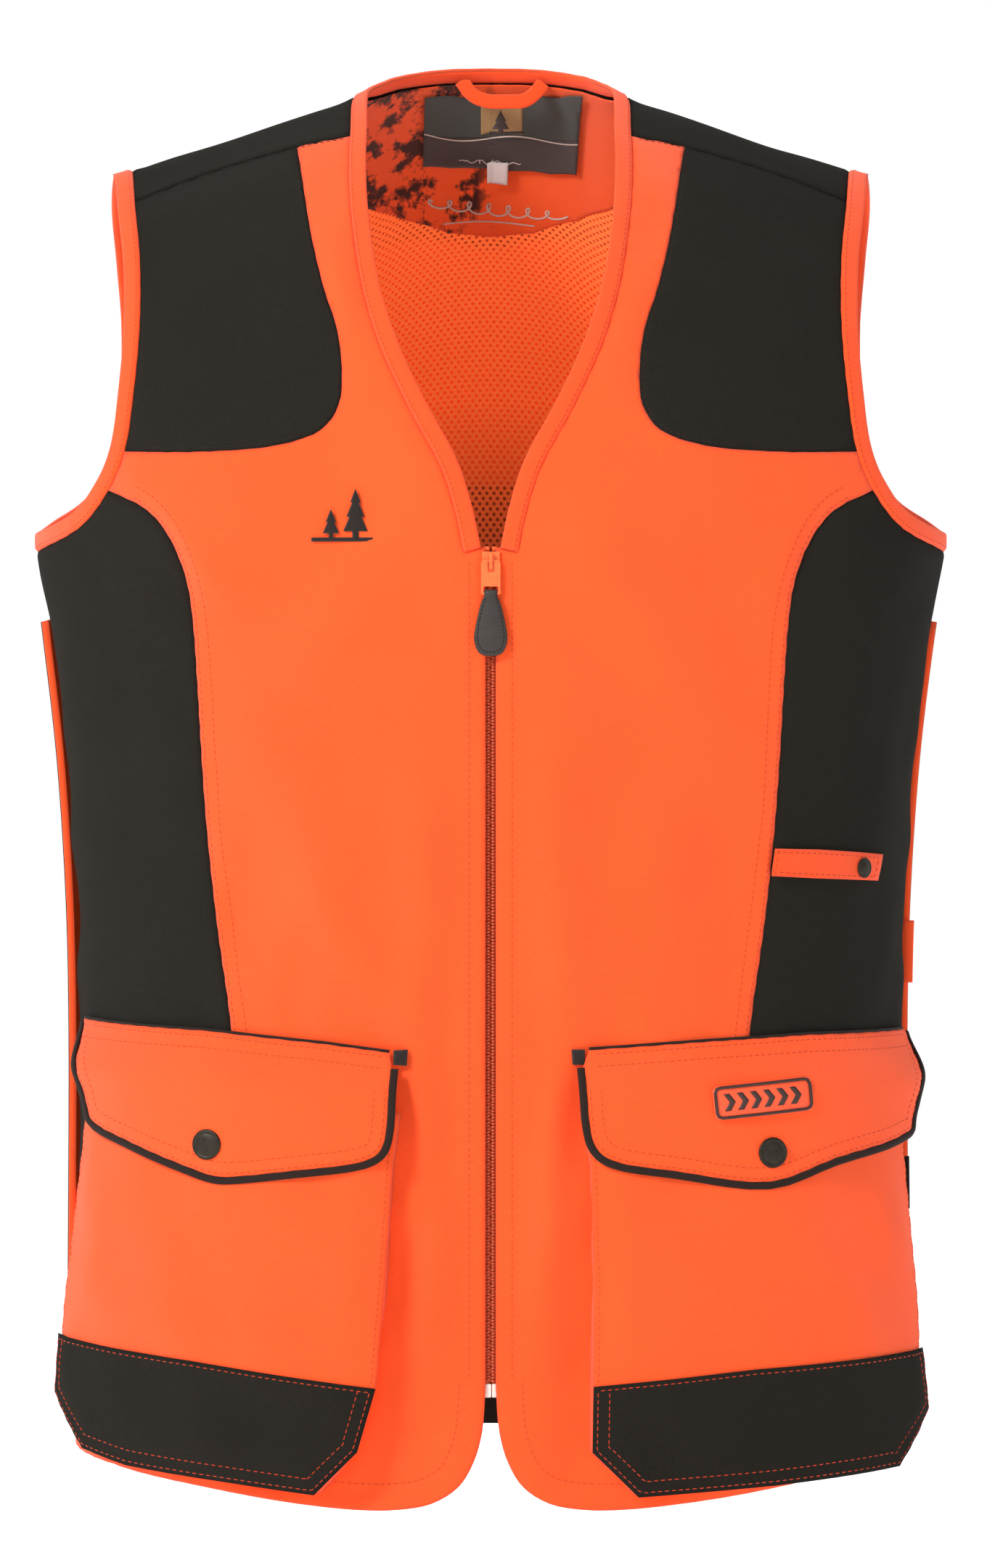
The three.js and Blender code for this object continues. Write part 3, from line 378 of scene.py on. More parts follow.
def ringed(name, grid, around, lengths, look, closed=False, body=shell, nodes=None, sheet=True):
    # a closed skin over rings of points, one ring for each step along a piece
    count, sides = grid.shape[:2]
    vertices = grid.reshape(-1, 3)
    faces = []
    for i in range(count if closed else count - 1):
        for k in range(sides):
            j, n = (k + 1) % sides, (i + 1) % count
            faces.append((i * sides + k, n * sides + k, n * sides + j, i * sides + j))
    if not closed:
        faces += [tuple(range(sides)), tuple(range((count - 1) * sides, count * sides))[::-1]]
    a, b, c = (vertices[[f[k] for f in faces]] for k in range(3))
    if (a * np.cross(b, c)).sum() < 0:
        faces = [face[::-1] for face in faces]
    uv = np.stack([np.tile(around[:-1], count), np.repeat(lengths, sides)], -1)
    piece = newPiece(name, vertices, faces, look, body, nodes, uv, np.full(len(vertices), farFromSeam))
    surfaces[name] = (BVHTree.FromPolygons(vertices.tolist(), [f for f in faces if len(f) == 4]), 0.0)
    if sheet:
        width = around[-1] / 2 * mm
        declareSheet(piece, width, lengths[-1] * mm, width * lengths[-1] * mm, "stretched")
    return piece


def swept(name, edge, profile, look, height=0.0, closed=False, body=shell, nodes=None, wave=0.0, sheet=True):
    # a tape or cord along a chart line; the profile is (distance to the line's right, height) round its section
    edge = np.asarray(edge, float)
    profile = np.asarray(profile, float)
    lift = heightAt(height, edge)
    loop = np.vstack([edge, edge[:1]]) if closed else edge
    lengths = np.r_[0, np.cumsum(np.linalg.norm(np.diff(onBody(loop, heightAt(height, loop)), axis=0), axis=1))]
    rings = []
    for across, up in profile:
        line = shifted(edge, across, closed)
        ripple = wave * np.sin(lengths / 2.1 + 1.7 * np.sin(lengths / 17))[:len(edge)] * (1 if up > 0 else 0.3)
        rings.append(onBody(line, lift + up + ripple))
    around = np.r_[0, np.cumsum(np.linalg.norm(np.diff(np.vstack([profile, profile[:1]]), axis=0), axis=1))]
    return ringed(name, np.stack(rings, 1), around, lengths[:len(edge)], look, closed, body, nodes, sheet)


def placeOn(owner, places, above=6.0):
    # places and normals on the outer face of a piece already made
    tree, base = surfaces[owner]
    level = heightAt(base, places)
    out = slopes(places)[2]
    start = onBody(places, level + above)
    spots = []
    for p, n in zip(start, out):
        hit = tree.ray_cast(Vector(p), Vector(-n), above * 2 + 4)[0]
        spots.append(p - n * above if hit is None else np.array(hit))
    return np.array(spots), out


thread = {"length": 2.5, "gap": 0.75, "width": 0.42, "height": 0.2}


def stitching(name, owner, lines, look, body=shell, **sizes):
    # rows of single stitches lying on a piece
    size = {**thread, **sizes}
    half = size["length"] / 2
    w, h = size["width"] / 2, size["height"]
    grain = np.array([(-half, 0, -0.15), (-half * 0.6, -w, 0), (-half * 0.6, w, 0), (-half * 0.6, 0, h),
                      (half * 0.6, -w, 0), (half * 0.6, w, 0), (half * 0.6, 0, h), (half, 0, -0.15)])
    sides = [(0, 3, 1), (0, 2, 3), (1, 3, 6, 4), (3, 2, 5, 6), (4, 6, 7), (6, 5, 7), (0, 1, 4, 7, 5, 2)]
    vertices, faces = [], []
    for line in lines:
        even = spaced(line, size["length"] + size["gap"])
        if len(even) < 3:
            continue
        spots, normals = placeOn(owner, even)
        run = np.gradient(spots, axis=0)
        run -= (run * normals).sum(1, keepdims=True) * normals
        run /= np.maximum(1e-9, np.linalg.norm(run, axis=1, keepdims=True))
        across = np.cross(normals, run)
        for p, t, b, n in zip(spots, run, across, normals):
            start = len(vertices)
            vertices += list(p + grain[:, :1] * t + grain[:, 1:2] * b + (grain[:, 2:] + 0.06) * n)
            faces += [tuple(start + k for k in face) for face in sides]
    return newPiece(name, vertices, faces, look, body, (), smoothed=False)


def turnedPiece(name, profile, place, g, look, body=shell, nodes=None, steps=48):
    # a round piece standing on the body; the profile is (radius, height) from the bottom centre to the top
    profile = np.asarray(profile, float)
    centre = onBody(np.array([place]), g)[0]
    alongS, alongV, out = (q[0] for q in slopes(np.array([place])))
    east = alongS / np.linalg.norm(alongS)
    north = np.cross(out, east)
    angles = np.linspace(0, 2 * math.pi, steps, endpoint=False)
    ring = np.cos(angles)[:, None] * east + np.sin(angles)[:, None] * north
    vertices, rows = [], []
    for r, h in profile:
        if r < 1e-6:
            rows.append([len(vertices)])
            vertices.append(centre + out * h)
        else:
            rows.append(list(range(len(vertices), len(vertices) + steps)))
            vertices += list(centre + ring * r + out * h)
    faces = []
    pairs = list(zip(rows, rows[1:]))
    if profile[0][0] > 1e-6 and profile[-1][0] > 1e-6:
        pairs.append((rows[-1], rows[0]))
    for a, b in pairs:
        for k in range(steps):
            j = (k + 1) % steps
            if len(a) == 1 and len(b) == 1:
                continue
            if len(a) == 1:
                faces.append((a[0], b[j], b[k]))
            elif len(b) == 1:
                faces.append((a[k], a[j], b[0]))
            else:
                faces.append((a[k], a[j], b[j], b[k]))
    flat = np.array(vertices) - centre
    uv = np.stack([flat @ east, flat @ north], -1)
    return newPiece(name, vertices, faces, look, body, nodes, uv, np.full(len(vertices), farFromSeam / 2))


def roundedBlock(name, corners, low, high, look, body=shell, bevel=0.3):
    # an outline across the zip and up it, pushed between two heights out from the cloth's face, its edges rounded
    work = bmesh.new()
    y0, y1 = -form["frontDepth"] - low, -form["frontDepth"] - high
    loop = [work.verts.new((x * mm, y0 * mm, z * mm)) for x, z in corners]
    face = work.faces.new(loop)
    pushed = bmesh.ops.extrude_face_region(work, geom=[face])
    moved = [e for e in pushed["geom"] if isinstance(e, bmesh.types.BMVert)]
    bmesh.ops.translate(work, verts=moved, vec=(0, (y1 - y0) * mm, 0))
    bmesh.ops.recalc_face_normals(work, faces=work.faces)
    bmesh.ops.bevel(work, geom=list(work.edges), offset=bevel * mm, segments=2, affect="EDGES", profile=0.6)
    mesh = bpy.data.meshes.new(name)
    work.to_mesh(mesh)
    work.free()
    mesh.shade_smooth()
    return rideAs(mesh, name, look, body, None)


# ---- materials ----

def nodeGroup(name, inputs, outputs):
    group = bpy.data.node_groups.new(name, "ShaderNodeTree")
    for label, kind, value in inputs:
        socket = group.interface.new_socket(label, in_out="INPUT", socket_type=kind)
        if value is not None:
            socket.default_value = value
    for label, kind in outputs:
        group.interface.new_socket(label, in_out="OUTPUT", socket_type=kind)
    return group, group.nodes.new("NodeGroupInput"), group.nodes.new("NodeGroupOutput")


def maths(tree, operation, a, b=None, clamp=False):
    node = tree.nodes.new("ShaderNodeMath")
    node.operation = operation
    node.use_clamp = clamp
    for i, value in enumerate((a, b)):
        if value is None:
            continue
        if isinstance(value, (int, float)):
            node.inputs[i].default_value = value
        else:
            tree.links.new(value, node.inputs[i])
    return node.outputs[0]


def mixed(tree, factor, a, b):
    node = tree.nodes.new("ShaderNodeMix")
    node.data_type = "RGBA"
    for socket, value in ((node.inputs[0], factor), (node.inputs[6], a), (node.inputs[7], b)):
        if isinstance(value, (int, float, tuple)):
            socket.default_value = value
        else:
            tree.links.new(value, socket)
    return node.outputs[2]


def noise(tree, vector, scale, detail=2.0, rough=0.5, stretch=None):
    if stretch:
        mapping = tree.nodes.new("ShaderNodeMapping")
        mapping.inputs["Scale"].default_value = stretch
        tree.links.new(vector, mapping.inputs["Vector"])
        vector = mapping.outputs[0]
    node = tree.nodes.new("ShaderNodeTexNoise")
    node.inputs["Scale"].default_value = scale
    node.inputs["Detail"].default_value = detail
    node.inputs["Roughness"].default_value = rough
    tree.links.new(vector, node.inputs["Vector"])
    return node.outputs["Fac"]


def makeWeave():
    # threads over and under each other; Twill runs from 0, plain weave, to 1, slanting ribs
    tree, given, result = nodeGroup(
        "weave",
        [("Vector", "NodeSocketVector", None), ("Threads", "NodeSocketFloat", 1400.0),
         ("Twill", "NodeSocketFloat", 0.0)],
        [("Height", "NodeSocketFloat"), ("Slubs", "NodeSocketFloat")])
    split = tree.nodes.new("ShaderNodeSeparateXYZ")
    tree.links.new(given.outputs["Vector"], split.inputs[0])
    turn = maths(tree, "MULTIPLY", given.outputs["Threads"], 2 * math.pi)
    u = maths(tree, "MULTIPLY", split.outputs[0], turn)
    v = maths(tree, "MULTIPLY", split.outputs[1], turn)
    plain = maths(tree, "MULTIPLY", maths(tree, "SINE", u), maths(tree, "SINE", v))
    slant = maths(tree, "SINE", maths(tree, "ADD", u, v))
    pick = maths(tree, "MULTIPLY", maths(tree, "SINE", maths(tree, "SUBTRACT", u, v)), 0.35)
    twill = maths(tree, "ADD", slant, pick)
    height = tree.nodes.new("ShaderNodeMix")
    tree.links.new(given.outputs["Twill"], height.inputs[0])
    tree.links.new(plain, height.inputs[2])
    tree.links.new(twill, height.inputs[3])
    tree.links.new(height.outputs[0], result.inputs["Height"])
    across = noise(tree, given.outputs["Vector"], 1.0, 3, 0.6, (45, 1500, 1))
    down = noise(tree, given.outputs["Vector"], 1.0, 3, 0.6, (1500, 45, 1))
    tree.links.new(maths(tree, "MULTIPLY", maths(tree, "ADD", across, down), 0.5), result.inputs["Slubs"])
    return tree


def makeToneAndSeamShade():
    # cloth tone: uneven dye and a little dust, with painted shade along seams, darker near each piece's edge
    tree, given, result = nodeGroup(
        "clothToneAndSeamShade",
        [("Vector", "NodeSocketVector", None), ("Colour", "NodeSocketColor", (1, 1, 1, 1)),
         ("Dark", "NodeSocketColor", (0, 0, 0, 1)), ("Slubs", "NodeSocketFloat", 0.5),
         ("Streaks", "NodeSocketFloat", 0.25), ("Seam", "NodeSocketFloat", 0.01),
         ("Seam shade", "NodeSocketFloat", 0.3)],
        [("Colour", "NodeSocketColor"), ("Unevenness", "NodeSocketFloat")])
    broad = noise(tree, given.outputs["Vector"], 11, 4, 0.55)
    fine = noise(tree, given.outputs["Vector"], 420, 2, 0.6)
    uneven = maths(tree, "ADD", maths(tree, "MULTIPLY", broad, 0.65), maths(tree, "MULTIPLY", fine, 0.35))
    streak = maths(tree, "MULTIPLY", maths(tree, "SUBTRACT", given.outputs["Slubs"], 0.5), given.outputs["Streaks"])
    dyed = maths(tree, "MULTIPLY", maths(tree, "SUBTRACT", uneven, 0.42), 0.5)
    amount = maths(tree, "ADD", dyed, streak, clamp=True)
    toned = mixed(tree, amount, given.outputs["Colour"], given.outputs["Dark"])
    # painted shade: the colour darkens within about 2 mm of a piece's edge
    near = maths(tree, "SUBTRACT", 1.0, maths(tree, "DIVIDE", given.outputs["Seam"], 0.0022), clamp=True)
    shade = maths(tree, "MULTIPLY", near, given.outputs["Seam shade"])
    tree.links.new(mixed(tree, shade, toned, given.outputs["Dark"]), result.inputs["Colour"])
    tree.links.new(uneven, result.inputs["Unevenness"])
    return tree


def makeGrain():
    # leather grain, pores and rubbed high spots
    tree, given, result = nodeGroup(
        "hideGrain", [("Vector", "NodeSocketVector", None), ("Scale", "NodeSocketFloat", 900.0)],
        [("Height", "NodeSocketFloat"), ("Rub", "NodeSocketFloat")])
    cells = tree.nodes.new("ShaderNodeTexVoronoi")
    cells.feature = "DISTANCE_TO_EDGE"
    tree.links.new(given.outputs["Vector"], cells.inputs["Vector"])
    tree.links.new(given.outputs["Scale"], cells.inputs["Scale"])
    tree.links.new(maths(tree, "MULTIPLY", cells.outputs["Distance"], 1.6, clamp=True), result.inputs["Height"])
    tree.links.new(noise(tree, given.outputs["Vector"], 160, 4, 0.65), result.inputs["Rub"])
    return tree


def makeNet():
    # rows of small round holes, each row half a step along from the last; 1 in a hole
    tree, given, result = nodeGroup(
        "netHoles",
        [("Vector", "NodeSocketVector", None), ("Across", "NodeSocketFloat", 0.0033), ("Up", "NodeSocketFloat", 0.0021),
         ("Radius", "NodeSocketFloat", 0.00075)],
        [("Hole", "NodeSocketFloat"), ("Rim", "NodeSocketFloat")])
    split = tree.nodes.new("ShaderNodeSeparateXYZ")
    tree.links.new(given.outputs["Vector"], split.inputs[0])
    row = maths(tree, "DIVIDE", split.outputs[1], given.outputs["Up"])
    shift = maths(tree, "MULTIPLY", maths(tree, "MODULO", maths(tree, "FLOOR", row), 2.0), 0.5)
    column = maths(tree, "ADD", maths(tree, "DIVIDE", split.outputs[0], given.outputs["Across"]), shift)
    u = maths(tree, "MULTIPLY", maths(tree, "SUBTRACT", maths(tree, "FRACT", column), 0.5), given.outputs["Across"])
    v = maths(tree, "MULTIPLY", maths(tree, "SUBTRACT", maths(tree, "FRACT", row), 0.5), given.outputs["Up"])
    far = maths(tree, "SQRT", maths(tree, "ADD", maths(tree, "MULTIPLY", u, u), maths(tree, "MULTIPLY", v, v)))
    tree.links.new(maths(tree, "LESS_THAN", far, given.outputs["Radius"]), result.inputs["Hole"])
    rim = maths(tree, "SUBTRACT", 1.0, maths(tree, "DIVIDE", far, 0.0015), clamp=True)
    tree.links.new(rim, result.inputs["Rim"])
    return tree


weaveGroup, toneGroup, grainGroup, netGroup = makeWeave(), makeToneAndSeamShade(), makeGrain(), makeNet()


def startMaterial(name, **values):
    material = bpy.data.materials.new(name)
    material.use_nodes = True
    tree = material.node_tree
    shader = tree.nodes["Principled BSDF"]
    for socket, value in values.items():
        shader.inputs[socket.replace("_", " ")].default_value = value
    return material, tree, shader


def placed(tree, group, **values):
    node = tree.nodes.new("ShaderNodeGroup")
    node.node_tree = group
    for name, value in values.items():
        socket = node.inputs[name.replace("_", " ")]
        if isinstance(value, (int, float, tuple)):
            socket.default_value = value
        else:
            tree.links.new(value, socket)
    return node


def linear(red, green, blue):
    def one(c):
        c /= 255
        return c / 12.92 if c <= 0.04045 else ((c + 0.055) / 1.055) ** 2.4
    return (one(red), one(green), one(blue), 1.0)


def bump(tree, shader, height, distance):
    node = tree.nodes.new("ShaderNodeBump")
    node.inputs["Distance"].default_value = distance
    node.inputs["Strength"].default_value = 1.0
    tree.links.new(height, node.inputs["Height"])
    tree.links.new(node.outputs[0], shader.inputs["Normal"])


def clothMaterial(name, colour, dark, threads=1300.0, twill=0.0, depth=0.00012, roughness=0.85, sheen=0.15,
                  streaks=0.25, glow=0.0, seamShade=0.35, gloss=0.2):
    material, tree, shader = startMaterial(name, Sheen_Weight=sheen, Sheen_Roughness=0.5, Specular_IOR_Level=gloss)
    uv = tree.nodes.new("ShaderNodeUVMap")
    uv.uv_map = "cloth"
    seam = tree.nodes.new("ShaderNodeAttribute")
    seam.attribute_name = "seamDistance"
    weave = placed(tree, weaveGroup, Vector=uv.outputs[0], Threads=threads, Twill=twill)
    tone = placed(tree, toneGroup, Vector=uv.outputs[0], Colour=colour, Dark=dark, Slubs=weave.outputs["Slubs"],
                  Streaks=streaks, Seam=seam.outputs["Fac"], Seam_shade=seamShade)
    tree.links.new(tone.outputs["Colour"], shader.inputs["Base Color"])
    rough = maths(tree, "ADD", maths(tree, "MULTIPLY", tone.outputs["Unevenness"], 0.15), roughness - 0.07)
    tree.links.new(rough, shader.inputs["Roughness"])
    raised = maths(tree, "ADD", weave.outputs["Height"], maths(tree, "MULTIPLY", weave.outputs["Slubs"], 1.5))
    bump(tree, shader, raised, depth)
    # glow is painted light: the cloth gives off its own colour faintly to lift its shadows
    if glow:
        tree.links.new(tone.outputs["Colour"], shader.inputs["Emission Color"])
        shader.inputs["Emission Strength"].default_value = glow
    return material


# glow is painted light: the lining gives off its own colour to lift the shade inside the vest
netHolesAndGlow = {"openness": 0.8, "rim": 0.35, "glow": 0.34}
# the lining is in the fronts' shade from the foot of the neck opening down; heights in metres
netShade = {"top": -0.15, "full": -0.235, "most": 0.7, "tone": linear(96, 32, 16)}


def netMaterial(name, colour, dark):
    material, tree, shader = startMaterial(name, Roughness=0.8, Sheen_Weight=0.2, Specular_IOR_Level=0.25)
    uv = tree.nodes.new("ShaderNodeUVMap")
    uv.uv_map = "cloth"
    net = placed(tree, netGroup, Vector=uv.outputs[0])
    tone = placed(tree, toneGroup, Vector=uv.outputs[0], Colour=colour, Dark=dark, Slubs=0.5, Seam=1.0)
    rim = maths(tree, "MULTIPLY", net.outputs["Rim"], netHolesAndGlow["rim"])
    rimmed = mixed(tree, rim, tone.outputs["Colour"], dark)
    place = tree.nodes.new("ShaderNodeSeparateXYZ")
    tree.links.new(tree.nodes.new("ShaderNodeTexCoord").outputs["Object"], place.inputs[0])
    below = maths(tree, "SUBTRACT", netShade["top"], place.outputs["Z"])
    depth = maths(tree, "MULTIPLY", below, 1 / (netShade["top"] - netShade["full"]), clamp=True)
    toned = mixed(tree, maths(tree, "MULTIPLY", depth, netShade["most"]), rimmed, netShade["tone"])
    tree.links.new(toned, shader.inputs["Base Color"])
    gaps = maths(tree, "MULTIPLY", net.outputs["Hole"], netHolesAndGlow["openness"])
    tree.links.new(maths(tree, "SUBTRACT", 1.0, gaps), shader.inputs["Alpha"])
    # painted light: the lining emits its colour to lift its shadows
    tree.links.new(toned, shader.inputs["Emission Color"])
    shader.inputs["Emission Strength"].default_value = netHolesAndGlow["glow"]
    bump(tree, shader, maths(tree, "SUBTRACT", 1.0, net.outputs["Rim"]), 0.0003)
    return material


def metalMaterial(name, colour, dark, roughness, metallic, scratches=0.3):
    material, tree, shader = startMaterial(name, Metallic=metallic)
    place = tree.nodes.new("ShaderNodeTexCoord").outputs["Object"]
    cloud = noise(tree, place, 240, 4, 0.6)
    scratch = noise(tree, place, 1.0, 2, 0.7, (260, 260, 2600))
    worn = maths(tree, "MULTIPLY", maths(tree, "SUBTRACT", cloud, 0.45), 1.8, clamp=True)
    tree.links.new(mixed(tree, worn, colour, dark), shader.inputs["Base Color"])
    rough = maths(tree, "ADD", maths(tree, "MULTIPLY", scratch, scratches), roughness - scratches / 2)
    tree.links.new(rough, shader.inputs["Roughness"])
    bump(tree, shader, scratch, 0.00006)
    return material


def leatherMaterial(name, colour, dark):
    material, tree, shader = startMaterial(name, Coat_Weight=0.03, Coat_Roughness=0.5)
    place = tree.nodes.new("ShaderNodeTexCoord").outputs["Object"]
    grain = placed(tree, grainGroup, Vector=place, Scale=1300.0)
    tree.links.new(mixed(tree, grain.outputs["Rub"], colour, dark), shader.inputs["Base Color"])
    rough = maths(tree, "ADD", maths(tree, "MULTIPLY", grain.outputs["Rub"], 0.25), 0.42)
    tree.links.new(rough, shader.inputs["Roughness"])
    bump(tree, shader, grain.outputs["Height"], 0.00018)
    return material


def plasticMaterial(name, colour, dark, roughness=0.4):
    material, tree, shader = startMaterial(name, Specular_IOR_Level=0.45)
    place = tree.nodes.new("ShaderNodeTexCoord").outputs["Object"]
    cloud = noise(tree, place, 300, 3, 0.55)
    tree.links.new(mixed(tree, maths(tree, "MULTIPLY", cloud, 0.5), colour, dark), shader.inputs["Base Color"])
    tree.links.new(maths(tree, "ADD", maths(tree, "MULTIPLY", cloud, 0.2), roughness - 0.1), shader.inputs["Roughness"])
    bump(tree, shader, cloud, 0.00005)
    return material


tones = {
    "orange": linear(252, 87, 34), "orangeDark": linear(216, 54, 12), "binding": linear(250, 82, 30),
    "bindingDark": linear(216, 58, 14), "net": linear(252, 116, 54), "netDark": linear(190, 64, 24),
    "twill": linear(41, 38, 33), "twillDark": linear(20, 18, 15), "piping": linear(38, 26, 21),
    "pipingDark": linear(22, 14, 11), "coil": linear(196, 70, 34), "coilDark": linear(120, 36, 18),
    "orangeThread": linear(206, 62, 24), "threadDark": linear(150, 38, 14),
}
# the orange cloth, binding and thread glow faintly: painted light that lifts their shadows
orangeCloth = (clothMaterial("orangeCloth", tones["orange"], tones["orangeDark"], glow=0.1), "orange_cloth")
bindingTape = (clothMaterial("bindingTape", tones["binding"], tones["bindingDark"], threads=1500, twill=0.4,
                             roughness=0.75, glow=0.08), "orange_binding")
darkTwill = (clothMaterial("darkTwill", tones["twill"], tones["twillDark"], threads=950, twill=1.0, depth=0.0002,
                           roughness=0.94, sheen=0.015, streaks=0.9, gloss=0.06), "dark_twill")
darkTape = (clothMaterial("darkTape", tones["piping"], tones["pipingDark"], threads=1200, twill=0.6, roughness=0.8,
                          sheen=0.03), "dark_piping")
netLining = (netMaterial("netLining", tones["net"], tones["netDark"]), "mesh_lining")
orangeThread = (clothMaterial("orangeThread", tones["orangeThread"], tones["threadDark"], threads=3000, glow=0.05),
                "orange_binding")
darkThread = (clothMaterial("darkThread", tones["piping"], tones["pipingDark"], threads=3000), "dark_piping")
coilNylon = (plasticMaterial("coilNylon", tones["coil"], tones["coilDark"], 0.4), "zip_coil")
lacquer = (metalMaterial("orangeLacquer", linear(250, 108, 48), linear(214, 78, 30), 0.35, 0.15, 0.15), "zip_metal")
gunmetal = (metalMaterial("gunmetal", linear(52, 47, 40), linear(22, 19, 16), 0.45, 0.85), "snap_metal")
hide = (leatherMaterial("brownHide", linear(46, 35, 27), linear(24, 18, 13)), "brown_leather")
whiteMoulding = (plasticMaterial("whiteMoulding", linear(240, 226, 218), linear(226, 190, 176), 0.5), "white_plastic")


def fineCloth(name, light, dark, slot, **finish):
    # the smooth weave of labels and embroidery, from its two tones
    return clothMaterial(name, linear(*light), linear(*dark), roughness=0.6, **finish), slot


whiteSatin = fineCloth("whiteSatin", (238, 236, 232), (205, 200, 195), "white_label", threads=2200)
whiteThread = fineCloth("whiteThread", (240, 226, 214), (222, 190, 170), "white_label", threads=3000)
labelGreen = fineCloth("labelGreen", (38, 54, 44), (20, 30, 24), "woven_label", threads=2200, sheen=0.3)
labelBrown = fineCloth("labelBrown", (52, 38, 32), (28, 20, 18), "woven_label", threads=2200, sheen=0.3)
labelTan = fineCloth("labelTan", (176, 148, 96), (140, 112, 70), "woven_label", threads=2200)
badgeGround = (plasticMaterial("badgeGround", linear(244, 88, 44), linear(214, 62, 26), 0.55), "orange_cloth")
badgeInk = (plasticMaterial("badgeInk", linear(58, 28, 20), linear(36, 18, 14), 0.5), "dark_piping")


def printedMaterial(name, colour, dark, ink):
    # plain cloth whose wearer's-right end carries a dark print of broken, leafy patches
    material = clothMaterial(name, colour, dark, glow=0.05)
    tree = material.node_tree
    shader = tree.nodes["Principled BSDF"]
    place = tree.nodes.new("ShaderNodeTexCoord").outputs["Object"]
    blotch = noise(tree, place, 62, 5, 0.62)
    bark = noise(tree, place, 1.0, 4, 0.7, (260, 260, 70))
    marks = maths(tree, "ADD", maths(tree, "MULTIPLY", blotch, 0.75), maths(tree, "MULTIPLY", bark, 0.25))
    split = tree.nodes.new("ShaderNodeSeparateXYZ")
    tree.links.new(place, split.inputs[0])
    fade = maths(tree, "MULTIPLY", maths(tree, "SUBTRACT", 0.004, split.outputs[0]), 90.0, clamp=True)
    edge = maths(tree, "MULTIPLY", maths(tree, "SUBTRACT", marks, 0.5), 16.0, clamp=True)
    amount = maths(tree, "MULTIPLY", edge, fade)
    toned = shader.inputs["Base Color"].links[0].from_socket
    printed = mixed(tree, amount, toned, ink)
    tree.links.new(printed, shader.inputs["Base Color"])
    # the print also feeds the faint emission, painted light that lifts the facing's shadows
    tree.links.new(printed, shader.inputs["Emission Color"])
    return material


facingPrint = (printedMaterial("facingPrint", linear(244, 92, 36), tones["orangeDark"], linear(64, 30, 20)),
               "orange_cloth")
print("materials made")


# ---- seams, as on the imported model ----

seamBack = 8.5    # mm from a bound edge to the seam under its binding
threadPitch = 2.4    # mm between the points of a swept tape
ridgeAt = front([(187, -60)])[0, 0]
armholeEdge = smooth(joined(
    (ridgeAt, ridgeLine),
    front([(184.5, -58), (181, -88), (180.6, -119), (183, -150), (187, -178), (193.5, -194), (206, -210)]),
    side(90, -219), side(105, -212),
    back([(200, -197), (188, -165), (185, -120), (187, -85), (189, -58)]),
    (halfTurn - ridgeAt, ridgeLine)), 6)
armholeSeam = shifted(armholeEdge, seamBack)
# where each seam meets the armhole, counted in its points
stop = {"shoulder": 6, "patch": 30, "sidePanel": 36, "backSeam": 54, "yoke": 78, "ridge": 90}


def armholePart(start, end):
    return armholeSeam[stop[start]:stop[end] + 1]


neckEdge = smooth(joined(
    front([(4.6, -228), (9, -208), (16, -186), (32, -156), (45, -128), (54.5, -99), (60.3, -62), (61.6, -38),
           (61.4, -21.5)]),
    (front([(59, -30)])[0, 0], ridgeLine), overTop(back([(46, 9), (24, 13), (0, 14)]))), 6)
neckSeam = shifted(neckEdge, seamBack)
neckShoulder = 48    # the point of the neck where the shoulder seam starts
shoulderSeam = smooth(joined(
    neckSeam[neckShoulder], front([(96, -28.5), (136, -40)]), armholeSeam[stop["shoulder"]]), 6)
patchEdge = smooth(joined(
    shoulderSeam[6],
    front([(89, -70), (82, -100), (75.5, -120), (73, -140), (74.5, -158), (83, -170), (104, -177.5), (140, -180.5)]),
    armholeSeam[stop["patch"]]), 4)
sideSeam = smooth(joined(
    armholeSeam[stop["sidePanel"]],
    front([(169, -209), (157, -224), (149.5, -243), (146, -266), (144, -295), (142, -330), (139, -370), (134, -415),
           (127, -466), (123, -545)])), 3)
backSeam = joined(armholeSeam[stop["backSeam"]], *[side(105, z) for z in (-236, -325, -415, -490, -545, -610, -668)])
sideHem = joined(sideSeam[-1], front([(170, -545)]), side(85, -545), backSeam[5])
frontHem = joined(backSeam[-1], side(88, -671), smooth(front([
    (186, -678), (150, -686), (100, -694.5), (66, -698), (46, -698), (29, -695), (16, -687), (8.5, -675), (4.2, -660),
    (2.5, -638)]), 4))
backHem = joined(backSeam[-1], back([(150, -667), (75, -666), (0, -666)]))
yokeSeam = joined(armholeSeam[stop["yoke"]], back([(140, -82), (70, -75), (0, -74)]))
lowerSeam = joined(backSeam[1], back([(205, -226), (185, -212), (140, -199), (70, -194), (0, -193)]))


def turnedTo(line, sign):
    return np.asarray(line) if sign > 0 else mirrored(line)


def smoothstep(x, low, high):
    t = np.clip((x - low) / (high - low), 0, 1)
    return t * t * (3 - 2 * t)


# ---- outer cloth ----

drape = {"unevenness": 1.3, "creases": 0.7, "wavelength": 85, "zipPucker": 0.3, "hemWave": 1.0}
# folds are (from, to, width, height), in mm, as seen from the front on the wearer's left
frontFolds = [
    ((28, -330), (40, -480), 13, 4.6), ((34, -470), (22, -640), 9, 5.6), ((56, -455), (30, -560), 8, -3.0),
    ((120, -300), (70, -420), 20, 4.6), ((168, -205), (118, -262), 14, 3.6), ((40, -215), (96, -300), 15, 2.6),
    ((100, -330), (128, -440), 14, -2.8), ((22, -420), (20, -560), 6, -2.2), ((64, -690), (58, -600), 9, 4.2)]
rightFolds = [((18, -500), (46, -600), 8, -3.0), ((90, -380), (52, -460), 12, 3.6)]
backFolds = [((160, -215), (60, -330), 24, 1.4), ((-160, -215), (-60, -330), 24, 1.4),
             ((90, -90), (20, -180), 20, 0.9), ((-90, -90), (-20, -180), 20, 0.9)]


